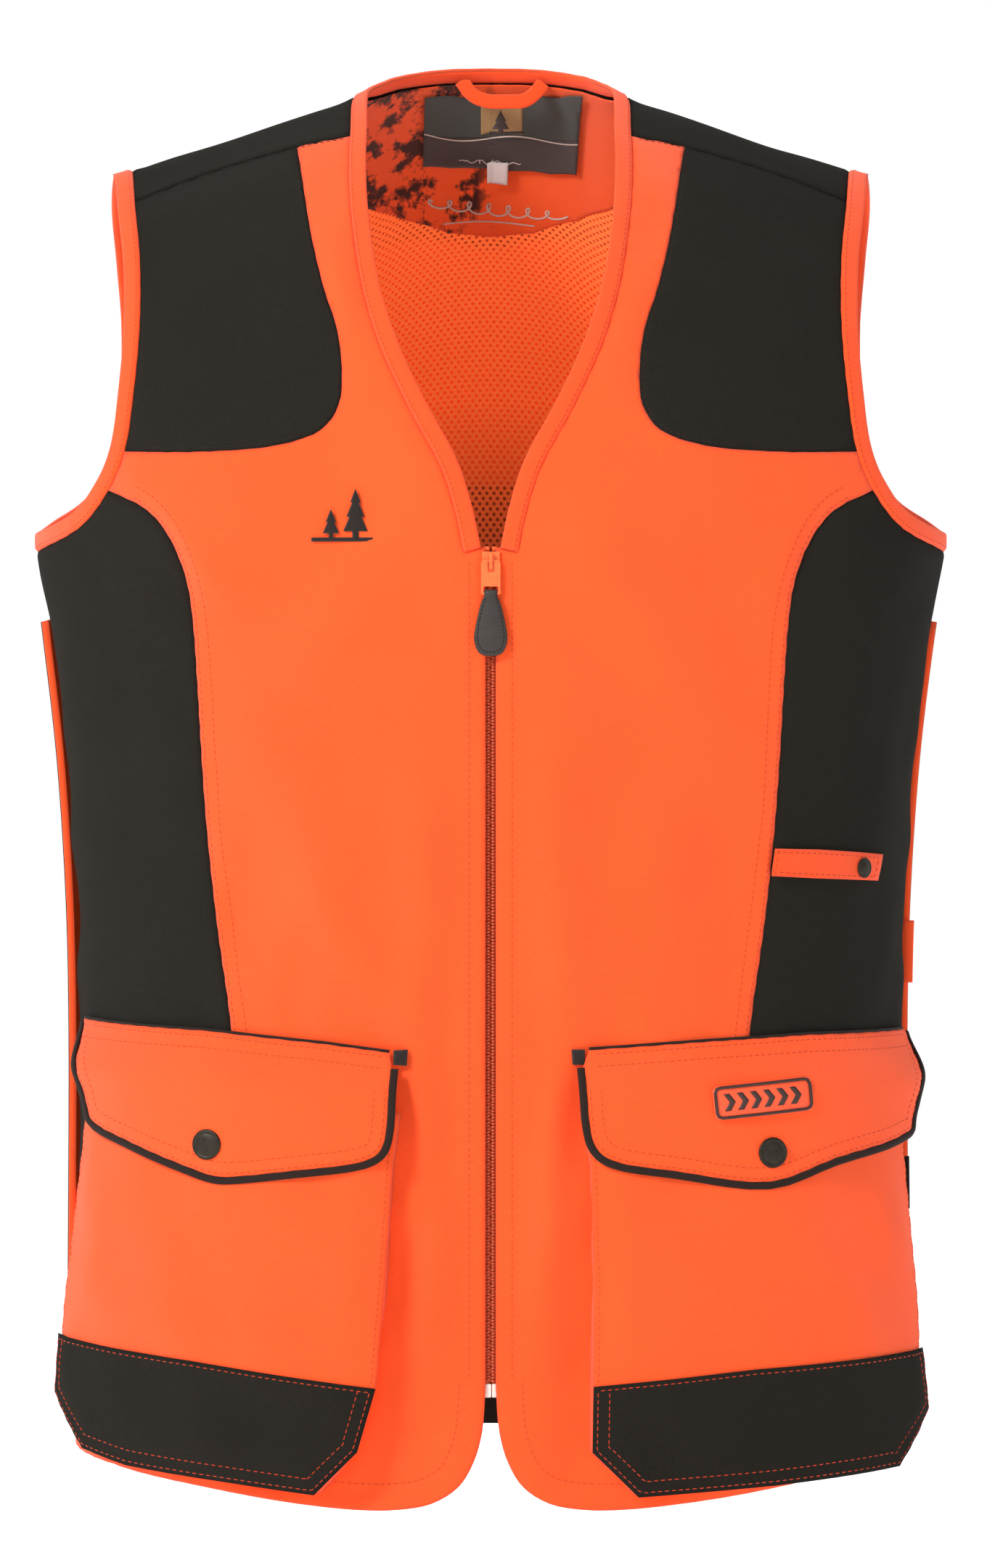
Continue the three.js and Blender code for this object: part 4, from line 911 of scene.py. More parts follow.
def frontDrape(sign):
    folds = frontFolds + (rightFolds if sign < 0 else [])
    lines = [(*turnedTo(front([a, b]), sign), width, height) for a, b, width, height in folds]

    def lift(places, far):
        soft = softNoise(places, 3 + sign, drape["wavelength"]) * drape["unevenness"]
        creases = softNoise(places * [1.0, 0.6], 13 + sign, 30) * drape["creases"]
        soft = soft + creases * smoothstep(-places[:, 1], 260, 520)
        for start, end, width, height in lines:
            soft = soft + fold(places, start, end, width, height)
        fromZip = np.abs(places[:, 0])
        soft = soft * smoothstep(fromZip, 4, 26) * smoothstep(far, 0, 10)
        ripple = drape["zipPucker"] * np.sin(places[:, 1] / 2.3 + 2.2 * np.sin(places[:, 1] / 31))
        soft = soft + ripple * np.exp(-((fromZip - 9) / 4.5) ** 2) * (places[:, 1] < -236)
        hem = drape["hemWave"] * np.sin(places[:, 0] / 17 + sign) * np.exp(-((places[:, 1] + 690) / 26) ** 2)
        return soft + hem * smoothstep(fromZip, 6, 30)
    return lift


def backDrape(places, far):
    soft = softNoise(places, 21, 110) * 0.7
    for start, end, width, height in backFolds:
        a, b = back([start, end])
        soft = soft + fold(places, a, b, width, height)
    return soft * smoothstep(far, 0, 12)


def plainDrape(seed, size=0.5, wavelength=70):
    return lambda places, far: softNoise(places, seed, wavelength) * size * smoothstep(far, 0, 9)


def sideDrape(seed):
    def lift(places, far):
        soft = softNoise(places, seed, 60) * 0.6
        for z in (-300, -352, -418, -470):
            sign = 1 if places[:, 0].mean() > 0 else -1
            a, b = side(58, z), side(100, z - 26)
            soft = soft + fold(places, a * [sign, 1], b * [sign, 1], 11, 1.1)
        return soft * smoothstep(far, 0, 12)
    return lift


bindingProfile = [(0, -0.9), (0, 0), (0.5, 0.5), (1.6, 0.68), (4, 0.74), (6.6, 0.68), (7.7, 0.5), (8.7, -0.3),
                  (8.7, -1.6), (7.6, -2.2), (6.4, -2.4), (1.6, -2.4), (0.4, -1.9)]

for sign, name in ((1, "left"), (-1, "right")):
    frontPanel = joined(
        shoulderSeam[:7], patchEdge, armholePart("patch", "sidePanel"), sideSeam, sideHem, backSeam[5:], frontHem,
        front([(2.5, -440), (2.5, -228)]), neckEdge[:1], neckSeam[:neckShoulder])
    panel = "front_panel_" + name
    clothPiece(panel, turnedTo(frontPanel, sign), orangeCloth, gap=4.0, shape=frontDrape(sign))
    patchOutline = joined(shoulderSeam[6:], armholePart("shoulder", "patch"), patchEdge[::-1])
    clothPiece("shoulder_patch_" + name, turnedTo(patchOutline, sign), darkTwill, gap=4.0,
               shape=plainDrape(7 + sign, 0.45, 55))
    sideOutline = joined(armholePart("sidePanel", "backSeam"), backSeam[:6], sideHem[::-1], sideSeam[::-1])
    clothPiece("side_panel_" + name, turnedTo(sideOutline, sign), darkTwill, gap=4.5, shape=sideDrape(11 + sign))
    boundEdge = spaced(armholeEdge, threadPitch, True)
    swept("armhole_binding_" + name, turnedTo(boundEdge, sign), [(sign * a, g) for a, g in bindingProfile],
          bindingTape, closed=True, wave=0.07)

    stitching(panel + "_side_stitches", panel,
              [turnedTo(shifted(sideSeam[2:], far), sign) for far in (2.2, 7.8)], orangeThread)
    zipLine = front([(10.5, z) for z in range(-236, -640, -12)])
    hemLine = shifted(frontHem[4:], 13)
    stitching(panel + "_edge_stitches", panel, [turnedTo(zipLine, sign), turnedTo(hemLine, sign)], orangeThread)
    stitching("shoulder_patch_stitches_" + name, "shoulder_patch_" + name,
              [turnedTo(shifted(patchEdge[2:-1], -1.8), sign)], darkThread)
    stitching("armhole_stitches_" + name, "armhole_binding_" + name,
              [turnedTo(shifted(spaced(armholeEdge, 4, True), 7.0, True), sign)], orangeThread, length=2.1)

upperBack = joined(lowerSeam[::-1], backSeam[0], armholePart("backSeam", "yoke"), yokeSeam)
clothPiece("back_panel", bothSides(upperBack), orangeCloth, gap=5.5, shape=backDrape)
lowerBack = joined(backHem[::-1], backSeam[1:][::-1], lowerSeam)
clothPiece("lower_back_panel", bothSides(lowerBack), darkTwill, gap=6.5, shape=plainDrape(31, 0.8, 110))
halfYoke = joined(
    neckSeam[neckShoulder:][::-1], shoulderSeam, armholeSeam[:stop["shoulder"]][::-1],
    overTop(armholePart("yoke", "ridge")[::-1]), overTop(yokeSeam))
clothPiece("shoulder_yoke", joined(halfYoke, mirrored(halfYoke)[::-1]), darkTwill, gap=4.5,
           shape=plainDrape(41, 0.5, 70))

halfNeck = spaced(neckEdge, threadPitch)
halfNeck[-1, 0] = 0
wholeNeck = joined(halfNeck, mirrored(halfNeck[:-1])[::-1])
swept("neck_binding", wholeNeck, bindingProfile, bindingTape, wave=0.07)
stitching("neck_binding_stitches", "neck_binding", [shifted(wholeNeck, 7.0)], orangeThread, length=2.1)
stitching("yoke_stitches", "shoulder_yoke",
          [turnedTo(shifted(shoulderSeam[1:-1], 2.0), sign) for sign in (1, -1)], darkThread)
stitching("back_stitches", "back_panel", [shifted(bothSides(yokeSeam[1:]), 2.2)], orangeThread)
print("outer cloth made")


# ---- inside ----

inner = {"lining": -3.2, "liningThickness": 1.0, "facing": -3.8, "label": -6.8, "labelThickness": 0.5}
liningArmhole = shifted(armholeEdge, seamBack + 3)
halfLining = joined(
    back([(0, -652), (75, -652)]), side(100, -652), liningArmhole[54:85],
    back([(88, -36), (70, -42), (66, -50), (44, -57.5), (22, -63.5), (0, -65.5)]))
linings = {"look": netLining, "base": inner["lining"], "thickness": inner["liningThickness"], "gap": 6.5,
           "pucker": 0.0, "roll": 0.2}
clothPiece("lining_back", bothSides(halfLining), shape=plainDrape(51, 0.3, 120), **linings)
for sign, name in ((1, "left"), (-1, "right")):
    liningOutline = joined(
        front([(20, -240), (26, -204), (43, -156), (56, -128), (66, -99), (74, -60), (90, -42)]), liningArmhole[6:49],
        side(98.5, -240), side(98.5, -652), front([(186, -664), (100, -682), (50, -686), (24, -674), (20, -640)]))
    clothPiece("lining_" + name, turnedTo(liningOutline, sign), **linings)

facingTop = shifted(neckEdge, 7.4)[54:]
facingTop[0, 1] = ridgeLine
halfFacing = joined(
    overTop(facingTop[::-1]), back([(70, -18), (68, -50), (45, -58.5), (22, -65), (0, -67)]))
clothPiece("neck_facing", bothSides(halfFacing), facingPrint, base=inner["facing"],
           thickness=inner["liningThickness"], gap=3.5, shape=plainDrape(61, 0.15, 40), pucker=0.1, roll=0.3)


def insideLine(name, line, width, height, look, deep):
    # a line of stitching or print on an inward face, standing towards the inside
    half = width / 2
    section = [(-half, 0), (-half * 0.6, -height), (half * 0.6, -height), (half, 0)]
    swept(name, spaced(line, 1.2), section, look, height=deep, nodes=(), sheet=False)


def printOn(name, outline, look, base, thickness, gap):
    # a flat mark on the label's inward face
    clothPiece(name, back(outline, labelDeep), look, base=base, thickness=thickness, gap=gap, nodes=(), pucker=0.0,
               roll=0.1, sheet=False)


labelDeep = inner["label"]
labelOutline = [(-33, -1), (-10, -1), (13, -1), (34, -1), (46, -1), (43, -38), (30, -37.5), (5, -36),
                (-20, -34.5), (-34, -34)]
clothPiece("neck_label", back(labelOutline, labelDeep), labelGreen, base=labelDeep,
           thickness=inner["labelThickness"], gap=2.5, pucker=0.05, roll=0.2)
underSide = labelDeep - inner["labelThickness"]
lowerHalf = [(-33.4, -19), (-20, -19.5), (5, -20.5), (30, -21), (43.9, -21.5), (43, -37.6), (30, -37.1),
             (5, -35.6), (-20, -34.1), (-33.8, -33.6)]
printOn("neck_label_lower", lowerHalf, labelBrown, underSide + 0.02, 0.16, 2.5)
hillLine = [(x, -18.6 - 1.6 * math.sin((x + 30) / 9) - 0.04 * (x + 34)) for x in np.linspace(-33.5, 43.8, 30)]
insideLine("neck_label_wave", back(hillLine, labelDeep), 0.9, 0.3, whiteThread, underSide)
firs = [(-7, -17.5), (-1.5, -17.5), (-1.5, -16), (-5, -16), (-2.2, -11.5), (-3.4, -11.5), (-1, -7.5), (0, -5),
        (1, -7.5), (3.4, -11.5), (2.2, -11.5), (5, -16), (1.5, -16), (1.5, -17.5), (14, -17.5), (14, -19), (-7, -19)]
plaque = [(-5, -3), (16, -3), (16, -18), (-5, -18)]
printOn("neck_label_plaque", plaque, labelTan, underSide + 0.02, 0.2, 2)
printOn("neck_label_fir", [(x * 0.85 + 5, z * 0.85 - 1.5) for x, z in firs], labelBrown, underSide - 0.16, 0.22, 1.6)
curl = [(-16 + 0.55 * t + 1.2 * math.sin(t / 2.0), -30.6 + 1.5 * math.sin(t / 1.1) * (1 - abs(t - 28) / 34) - 0.03 * t)
        for t in np.linspace(0, 56, 90)]
insideLine("neck_label_flourish", back(curl, labelDeep), 0.5, 0.2, whiteThread, underSide - 0.12)
clothPiece("size_label", back([(-2, -31), (9, -31), (8.5, -42), (-2, -41)], labelDeep), whiteSatin,
           base=labelDeep - 2.1, thickness=inner["labelThickness"], gap=1.8, pucker=0.05, roll=0.2, sheet=False)

# the white embroidered flourish under the label
flourish = {"loops": 7, "from": (-33, -51), "to": (36, -58), "size": 5.2, "sideways": 3.0, "flatness": 0.55}
t = np.linspace(0, 1, 260)
turn = 2 * math.pi * flourish["loops"] * t
swing = flourish["size"] * (0.35 + 0.65 * np.sin(math.pi * t) ** 0.5) * np.sin(turn)
(fromX, fromZ), (toX, toZ) = flourish["from"], flourish["to"]
flourishLine = np.stack([fromX + (toX - fromX) * t + flourish["sideways"] * np.cos(turn),
                         fromZ + (toZ - fromZ) * t + swing * flourish["flatness"]], -1)
facingFace = inner["facing"] - inner["liningThickness"]
insideLine("facing_flourish", back(flourishLine, inner["facing"]), 1.1, 0.45, whiteThread, facingFace)
swash = [(x, -62.5 + 2.2 * math.sin((x + 30) / 16)) for x in np.linspace(-24, 22, 40)]
insideLine("facing_swash", back(swash, inner["facing"]), 0.9, 0.4, whiteThread, facingFace)

# the hanging loop: a folded tape, sewn down at its two ends
loopHinge = np.array(hinges["loop_hinge"]["pos_m"]) / mm
loop = {"thickness": 1.2, "width": 7.2}
loopPath = smooth([(-14.8, 7.6), (-9, 0.4), (-2, -2.6), (8, -2.9), (17, -2.3), (22, 1.2), (26.5, 6.4)], 8)
rings, along = [], np.r_[0, np.cumsum(np.linalg.norm(np.diff(loopPath, axis=0), axis=1))]
run = np.gradient(loopPath, axis=0)
run /= np.linalg.norm(run, axis=1, keepdims=True)
across = np.stack([-run[:, 1], run[:, 0]], -1)
tape = [(-0.5, 0.0), (-0.46, 0.5), (-0.3, 0.62), (0, 0.55), (0.3, 0.62), (0.46, 0.5), (0.5, 0), (0.46, -0.5),
        (0, -0.6), (-0.46, -0.5)]
for wide, deep in tape:
    flat = loopPath + across * wide * loop["width"]
    rings.append(np.stack([flat[:, 0], np.full(len(flat), loopHinge[1]) - deep * loop["thickness"] * 0.98,
                           np.minimum(flat[:, 1], 7.9)], -1))
around = np.r_[0, np.cumsum([np.hypot((a[0] - b[0]) * loop["width"], (a[1] - b[1]) * 1.2)
                             for a, b in zip(tape, tape[1:] + tape[:1])])]
piece = ringed("hanging_loop", np.stack(rings, 1), around, along, bindingTape, body=None)
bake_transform(piece)
print("inside made")

# ---- front zip ----

zipper = {"top": -230, "bottom": -636, "pitch": 1.55, "coilWidth": 2.3, "coilThickness": 2.2, "gap": 0.7, "depth": 2.4}


def zipCoil(name, sign):
    # the turns of one coil, each a rounded bar that bulges at the middle of the zip
    section = [(0.0, -0.36), (0.2, -0.5), (1.0, -0.42), (1.0, 0.42), (0.2, 0.5), (0.0, 0.36)]
    vertices, faces = [], []
    turns = np.arange(zipper["bottom"] + 1, zipper["top"] - 1, zipper["pitch"])
    turns = turns + (0.0 if sign > 0 else zipper["pitch"] / 2)
    for z in turns:
        for g, slim in ((0.0, 0.75), (0.25, 1.0), (0.75, 1.0), (1.0, 0.75)):
            for across, up in section:
                x = zipper["gap"] - 0.45 + (1 - slim) * 0.8 + across * (zipper["coilWidth"] - (1 - slim) * 0.8)
                y = -form["frontDepth"] + zipper["depth"] + zipper["coilThickness"] * g
                vertices.append((sign * x, y, z + up * slim * zipper["pitch"] * 0.86))
        start = len(vertices) - 24
        for k in range(3):
            for j in range(6):
                a, b = start + k * 6 + j, start + k * 6 + (j + 1) % 6
                faces.append((a, b, b + 6, a + 6) if sign < 0 else (a, a + 6, b + 6, b))
        faces.append(tuple(range(start, start + 6))[::-1 if sign < 0 else 1])
        faces.append(tuple(range(start + 18, start + 24))[::1 if sign < 0 else -1])
    newPiece(name, vertices, faces, coilNylon)


for sign, name in ((1, "left"), (-1, "right")):
    zipCoil("zip_coil_" + name, sign)
    tapeOutline = turnedTo(front([(3.3, -643), (16.3, -643), (16.3, -231), (3.3, -231)], -3.25), sign)
    clothPiece("zip_tape_" + name, tapeOutline, bindingTape, base=-3.25, thickness=0.5, gap=4, pucker=0.0, roll=0.1)
    stopCorners = [(sign * 0.7, -229.6), (sign * 3.0, -229.6), (sign * 3.0, -227.4), (sign * 0.7, -227.4)]
    roundedBlock("zip_top_stop_" + name, stopCorners, -4.6, -2.4, lacquer, bevel=0.35)
for name, low, high in (("zip_box", -3, 0.3), ("zip_pin", 0.7, 3)):
    ends = [(low, -643), (high, -643), (high, -636.4), (low, -636.4)]
    roundedBlock(name, ends, -4.6, -2.4, whiteMoulding, bevel=0.4)


def keepSolid(node, material, bevel):
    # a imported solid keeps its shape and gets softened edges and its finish
    part = bpy.data.objects[node]
    part.data.materials.clear()
    part.data.materials.append(material)
    edge = part.modifiers.new("softEdges", "BEVEL")
    edge.width, edge.segments, edge.limit_method, edge.angle_limit = bevel * mm, 3, "ANGLE", math.radians(35)


keepSolid("zip_slider", lacquer[0], 0.35)
keepSolid("pull_tab", lacquer[0], 0.3)
# the stitched leather pull; its stitches are flat lozenges with a low ridge
pull = {"pivot": -250.5, "halfThickness": 1.4, "height": 2.5, "inset": (0.8, 0.88), "middle": 15}
pullStitch = {"every": 1.9, "start": 0.2, "length": 1.3, "halfWidth": 0.32, "rise": 0.22}
leatherEdge = [(3.3, 1.9), (3.3, -1.7), (4.3, -3.4), (6.2, -10), (7.6, -17), (8.2, -21.5), (7.4, -26), (5.4, -29.2),
               (2, -30.5)]
leatherCurve = smooth([(x, z + pull["pivot"]) for x, z in leatherEdge], 4)
leatherLoop = [tuple(p) for p in leatherCurve] + [(-x, z) for x, z in leatherCurve[::-1]]
pullBack, pullFront = (pull["height"] + way * pull["halfThickness"] for way in (-1, 1))
roundedBlock("leather_pull", leatherLoop, pullBack, pullFront, hide, body="leather_pull", bevel=0.7)
pullFace = -form["frontDepth"] - pull["height"] - pull["halfThickness"]
centre = pull["pivot"] - pull["middle"]
dense = np.array([(x * pull["inset"][0], (z - centre) * pull["inset"][1] + centre) for x, z in leatherLoop])
lengths = np.r_[0, np.cumsum(np.linalg.norm(np.diff(dense, axis=0), axis=1))]
seamVerts, seamFaces = [], []
for k in range(int(lengths[-1] / pullStitch["every"])):
    begin = k * pullStitch["every"] + pullStitch["start"]
    a, b = (np.array([np.interp(begin + d, lengths, dense[:, j]) for j in (0, 1)]) for d in (0, pullStitch["length"]))
    n = np.array([-(b - a)[1], (b - a)[0]]) / max(1e-6, np.linalg.norm(b - a)) * pullStitch["halfWidth"]
    start = len(seamVerts)
    seamVerts += [(*p, 0) for p in (a - n, b - n, b + n, a + n)] + [(*p, 1) for p in ((a * 3 + b) / 4, (a + b * 3) / 4)]
    seamFaces += [tuple(start + j for j in f) for f in ((0, 1, 5, 4), (1, 2, 5), (2, 3, 4, 5), (3, 0, 4), (3, 2, 1, 0))]
stitchVerts = [(x, pullFace - 0.02 - h * pullStitch["rise"], z) for x, z, h in seamVerts]
newPiece("leather_stitches", stitchVerts, seamFaces, darkThread, "leather_pull", (), smoothed=False)
print("zip made")

# ---- cargo pockets ----

pocket = {
    "depth": 18, "mouthDepth": 8.5, "slope": 120, "mouthDrop": 30, "flapRise": 4.6, "seamRise": 1.6, "flapSlope": 27,
    "crown": 1.6, "wrinkles": 1.0, "bellows": 5.0, "blend": 17,
}
patterns = {
    "right": {
        "edge": [(44.5, -504), (48, -530), (52, -590), (56, -637), (65, -669), (86, -690), (130, -684), (178, -677),
                 (200, -669.5), (214, -643), (212, -614), (208, -575), (204, -539), (200, -489)],
        "patchTop": [(212, -614), (146, -625), (56, -638)],
        "flapTop": [(49.5, -474.3), (82, -470), (138, -464), (200, -459)],
        "flapEdge": [(45, -482.5), (48, -518), (52, -526), (61, -531), (98, -536), (128, -539), (136, -538.5),
                     (152, -533), (178, -522), (198, -510), (201, -498), (201.5, -462)],
        "snap": (138, -519.5), "bartack": [(40.5, -473), (47.5, -473.5), (47.5, -480.5), (41, -481)]},
    "left": {
        "edge": [(44, -504), (49, -530), (50.5, -590), (50, -637), (49.5, -669), (72, -691), (138, -686), (200, -678.5),
                 (215, -651), (212, -621), (209, -575), (205, -530), (203, -495)],
        "patchTop": [(212, -621), (130, -629), (50, -637)],
        "flapTop": [(48, -473), (106, -469), (154, -466), (203, -464.5)],
        "flapEdge": [(42, -482), (45, -514), (49, -524), (58, -530.5), (90, -536), (136, -541.5), (170, -530),
                     (201, -520.5), (208, -515), (209, -507), (205.5, -468)],
        "snap": (137, -523.5), "bartack": [(39.5, -473), (46, -473), (46, -480.5), (40, -480.5)]},
}
pipingRound = [(1.9 - 1.9 * math.cos(a), 1.25 * math.sin(a)) for a in np.linspace(0, 2 * math.pi, 13)[:-1]]
capProfile = [(0, 0), (6.9, 0), (7.4, 0.25), (7.5, 0.7), (7.2, 1.15), (6.6, 1.4), (6.1, 1.25), (5.7, 1.05), (5.1, 1.2),
              (4.2, 1.45), (2.4, 1.6), (0, 1.65)]


def bendFrom(piece, joint, away):
    # the piece's placement is baked into its mesh; the direction away from the hinge is worked out but nothing makes
    # the piece follow the moving part
    axis = np.array(hinges[joint]["axis"], float)
    away = np.asarray(away, float)
    away = away - axis * (away @ axis) / (axis @ axis)
    away /= np.linalg.norm(away)
    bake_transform(piece)


for name, sign in (("left", 1), ("right", -1)):
    pattern = patterns[name]
    topLine = front(pattern["flapTop"], pocket["seamRise"])
    seamAt = lineThrough(topLine)

    def drop(places):
        return seamAt(np.abs(places[:, 0])) - places[:, 1]

    def pocketHeight(places, more=0.0):
        t = smoothstep(drop(places), pocket["mouthDrop"], pocket["mouthDrop"] + pocket["slope"])
        return pocket["mouthDepth"] + (pocket["depth"] - pocket["mouthDepth"]) * t + more

    def flapHeight(places, more=0.0):
        t = smoothstep(drop(places), 0, pocket["flapSlope"])
        return pocket["seamRise"] + (pocket["mouthDepth"] + pocket["flapRise"] - pocket["seamRise"]) * t + more

    def pocketSwell(places, far):
        soft = softNoise(places, 70 + sign, 52) * pocket["wrinkles"]
        for a, b, width, height in (((70, -540), (64, -640), 9, 1.3), ((120, -545), (96, -625), 15, 1.0),
                                    ((185, -540), (196, -620), 10, 1.1), ((90, -560), (160, -600), 14, -0.8)):
            start, end = turnedTo(front([a, b], 10), sign)
            soft = soft + fold(places, start, end, width, height)
        return (soft + pocket["crown"]) * smoothstep(far, 0, 16)

    edge = front(pattern["edge"], pocketHeight)
    face = "pocket_face_" + name
    clothPiece(face, turnedTo(edge, sign), orangeCloth, base=pocketHeight, gap=4.0, shape=pocketSwell, held="hung")
    sides = spaced(edge, 3.0)
    bellows = pocket["bellows"]
    pleat = [(0.15, 0.0), (-1.2, 0.14), (-bellows, 0.36), (-bellows * 0.9, 0.46), (-0.9, 0.7), (0.0, 1.0),
             (-1.3, 1.0), (-2.2, 0.72), (-bellows - 1.2, 0.47), (-bellows - 1.3, 0.35), (-2.6, 0.12),
             (-1.4, 0.0)]
    high = pocketHeight(sides) - 1.3
    waver = 1 + 0.06 * np.sin(np.arange(len(sides)) / 5)
    rings = [onBody(shifted(sides, across * (waver if 0.2 < share < 0.6 else 1)), 0.5 + (high - 0.5) * share)
             for across, share in pleat]
    along = np.r_[0, np.cumsum(np.linalg.norm(np.diff(rings[0], axis=0), axis=1))]
    steps = [np.hypot(a[0] - b[0], (a[1] - b[1]) * 14) for a, b in zip(pleat, pleat[1:] + pleat[:1])]
    around = np.r_[0, np.cumsum(steps)]
    grid = np.stack(rings, 1) * ([1, 1, 1] if sign > 0 else [-1, 1, 1])
    ringed("pocket_gusset_" + name, grid, around, along, orangeCloth)

    patchTop = front(pattern["patchTop"], pocketHeight)
    patchOutline = joined(edge[4:-4], patchTop)
    patch = "pocket_patch_" + name
    faceRim = turnedTo(finelyDivided(edge, 3.5), sign)
    faceRim3d = onBody(faceRim, pocketHeight(faceRim))

    def patchSwell(places, far):
        return pocketSwell(places, nearestEdge(onBody(places, pocketHeight(places)), faceRim3d)[0])

    clothPiece(patch, turnedTo(patchOutline, sign), darkTwill, base=lambda p: pocketHeight(p, 2.0), thickness=1.5,
               gap=3.6, shape=patchSwell, held="hung", pucker=0.2)
    rim = spaced(joined(patchTop[-1], edge[4:-4], patchTop[0]), 4)
    inward = [shifted(rim, -far) for far in (2.2, 7.6)]
    topRow = shifted(spaced(patchTop[::-1], 4), 2.2)
    stitching(patch + "_stitches", patch, [turnedTo(line[1:-1], sign) for line in inward + [topRow]], orangeThread,
              width=0.5, height=0.28)
    sideRow = shifted(spaced(edge, 4), -2.4)
    stitching(face + "_stitches", face, [turnedTo(sideRow[2:-2], sign)], orangeThread)

    # the flap, its corded edge and its fastener
    flapEdge = smooth(front(pattern["flapEdge"], flapHeight), 4)
    clothEdge = shifted(flapEdge, -3.0)
    flap = "pocket_flap_" + name

    def flapSwell(places, far):
        return softNoise(places, 80 + sign, 45) * 0.45 * smoothstep(far, 0, 12)

    piece = clothPiece(flap, turnedTo(joined(clothEdge, topLine[::-1]), sign), orangeCloth, gap=3.6,
                       base=lambda p: flapHeight(p, 1.4), thickness=1.4, shape=flapSwell, body=None, held="hung")
    down = (0, 0, -1)
    moving = "flap_" + name
    bendFrom(piece, moving + "_hinge", down)
    cordLine = spaced(flapEdge, 2.2)
    cord = swept("flap_piping_" + name, turnedTo(cordLine, sign), [(-sign * a, g) for a, g in pipingRound], darkTape,
                 height=lambda p: flapHeight(p, 0.75), body=None)
    bendFrom(cord, moving + "_hinge", down)
    rows = [shifted(spaced(topLine[::-1], 4), far) for far in (-2.6, -8.4)]
    inside = [shifted(spaced(flapEdge, 4)[2:-2], -far) for far in (5.4, 10.6)]
    lines = [turnedTo(line[1:-1], sign) for line in rows + inside]
    seam = stitching(flap + "_stitches", flap, lines, orangeThread, body=None)
    bendFrom(seam, moving + "_hinge", down)
    welt = shifted(spaced(topLine, 2.4), -1.1)
    swept("flap_seam_" + name, turnedTo(welt, sign), [(sign * a * 0.42, 0.9 * g) for a, g in pipingRound], darkTape,
          height=1.6, nodes=(), sheet=False)
    clothPiece("flap_bartack_" + name, turnedTo(front(pattern["bartack"], 2), sign), darkThread, base=3.2,
               thickness=2.6, gap=1.4, pucker=0.1, roll=0.35, sheet=False)

    snapPlace = turnedTo(front([pattern["snap"]], flapHeight), sign)
    place = tuple(snapPlace[0])
    onFace, onFlap = float(pocketHeight(snapPlace)[0]), float(flapHeight(snapPlace)[0])
    turnedPiece("snap_cap_" + name, capProfile, place, onFlap + 1.7, gunmetal, body=moving)
    turnedPiece("snap_socket_" + name, [(2.5, 0), (5.2, 0), (5.5, 0.3), (5.5, 0.9), (5.2, 1.2), (2.5, 1.2)], place,
                onFlap - 2.1, gunmetal, body=moving)
    studHeight = onFlap - 2.1 + 0.8 - onFace - 0.5
    turnedPiece("snap_stud_" + name, [(0, 0), (4.8, 0), (5, 0.3), (5, 0.7), (4.6, 0.8), (2, 0.8), (2, studHeight - 0.3),
                                      (1.7, studHeight), (0, studHeight)], place, onFace + 0.5, gunmetal)

    if name == "left":
        badge = {"centre": (132, -497), "tilt": 6.0, "width": 48.0, "height": 17.0}
        lean = math.radians(badge["tilt"])

        def onBadge(points):
            turned = [(badge["centre"][0] + x * math.cos(lean) - z * math.sin(lean),
                       badge["centre"][1] + x * math.sin(lean) + z * math.cos(lean)) for x, z in points]
            return front(turned, flapHeight)

        def roundedBox(w, h, r):
            points = []
            for cx, cz, first in ((w - r, h - r, 0), (r - w, h - r, 90), (r - w, r - h, 180), (w - r, r - h, 270)):
                points += [(cx + r * math.cos(math.radians(first + a)), cz + r * math.sin(math.radians(first + a)))
                           for a in range(0, 91, 18)]
            return points

        level = 1.4 + 0.9
        ground = onBadge(roundedBox(badge["width"] / 2, badge["height"] / 2, 2.8))
        clothPiece("flap_badge", ground, badgeGround, gap=2.4, thickness=1.2, pucker=0.0,
                   base=lambda p: flapHeight(p, level + 0.7), body="flap_left", roll=0.3, sheet=False)
        frameLine = roundedBox(22.9, 7.4, 2.4)
        frameSection = [(-0.75, 0), (-0.6, 0.5), (0.6, 0.5), (0.75, 0)]
        swept("flap_badge_frame", spaced(onBadge(frameLine), 2, True), frameSection, badgeInk,
              height=lambda p: flapHeight(p, level + 0.95), closed=True, body="flap_left", nodes=(), sheet=False)
        for k in range(6):
            x = -19 + k * 6.4
            bar = [(x, -4.2), (x + 2.9, -4.2), (x + 5.6, 0), (x + 2.9, 4.2), (x, 4.2), (x + 2.7, 0)]
            clothPiece("flap_badge_chevron_%d" % (k + 1), onBadge(bar), badgeInk, gap=2.2, thickness=0.6, pucker=0.0,
                       base=lambda p: flapHeight(p, level + 1.1), body="flap_left", nodes=(), roll=0.3, sheet=False)
print("pockets made")

# ---- emblem, strap, labels and the game pocket ----

emblem = [
    (-87.6, -225), (-56.6, -225), (-56.6, -223), (-64.5, -223), (-64.5, -220), (-60, -220), (-63, -213), (-61.5, -213),
    (-64.4, -206), (-63.4, -206), (-66, -199), (-68.6, -206), (-67.6, -206), (-70.5, -213), (-69, -213), (-72, -220),
    (-67.5, -220), (-67.5, -223), (-77, -223), (-77, -221), (-74, -221), (-76.4, -215.5), (-75.4, -215.5), (-78, -209),
    (-80.6, -215.5), (-79.6, -215.5), (-82, -221), (-79, -221), (-79, -223), (-87.6, -223)]
clothPiece("chest_emblem", front(emblem), darkThread, base=0.95, thickness=0.9, gap=1.2, pucker=0.08, roll=0.3,
           sheet=False)

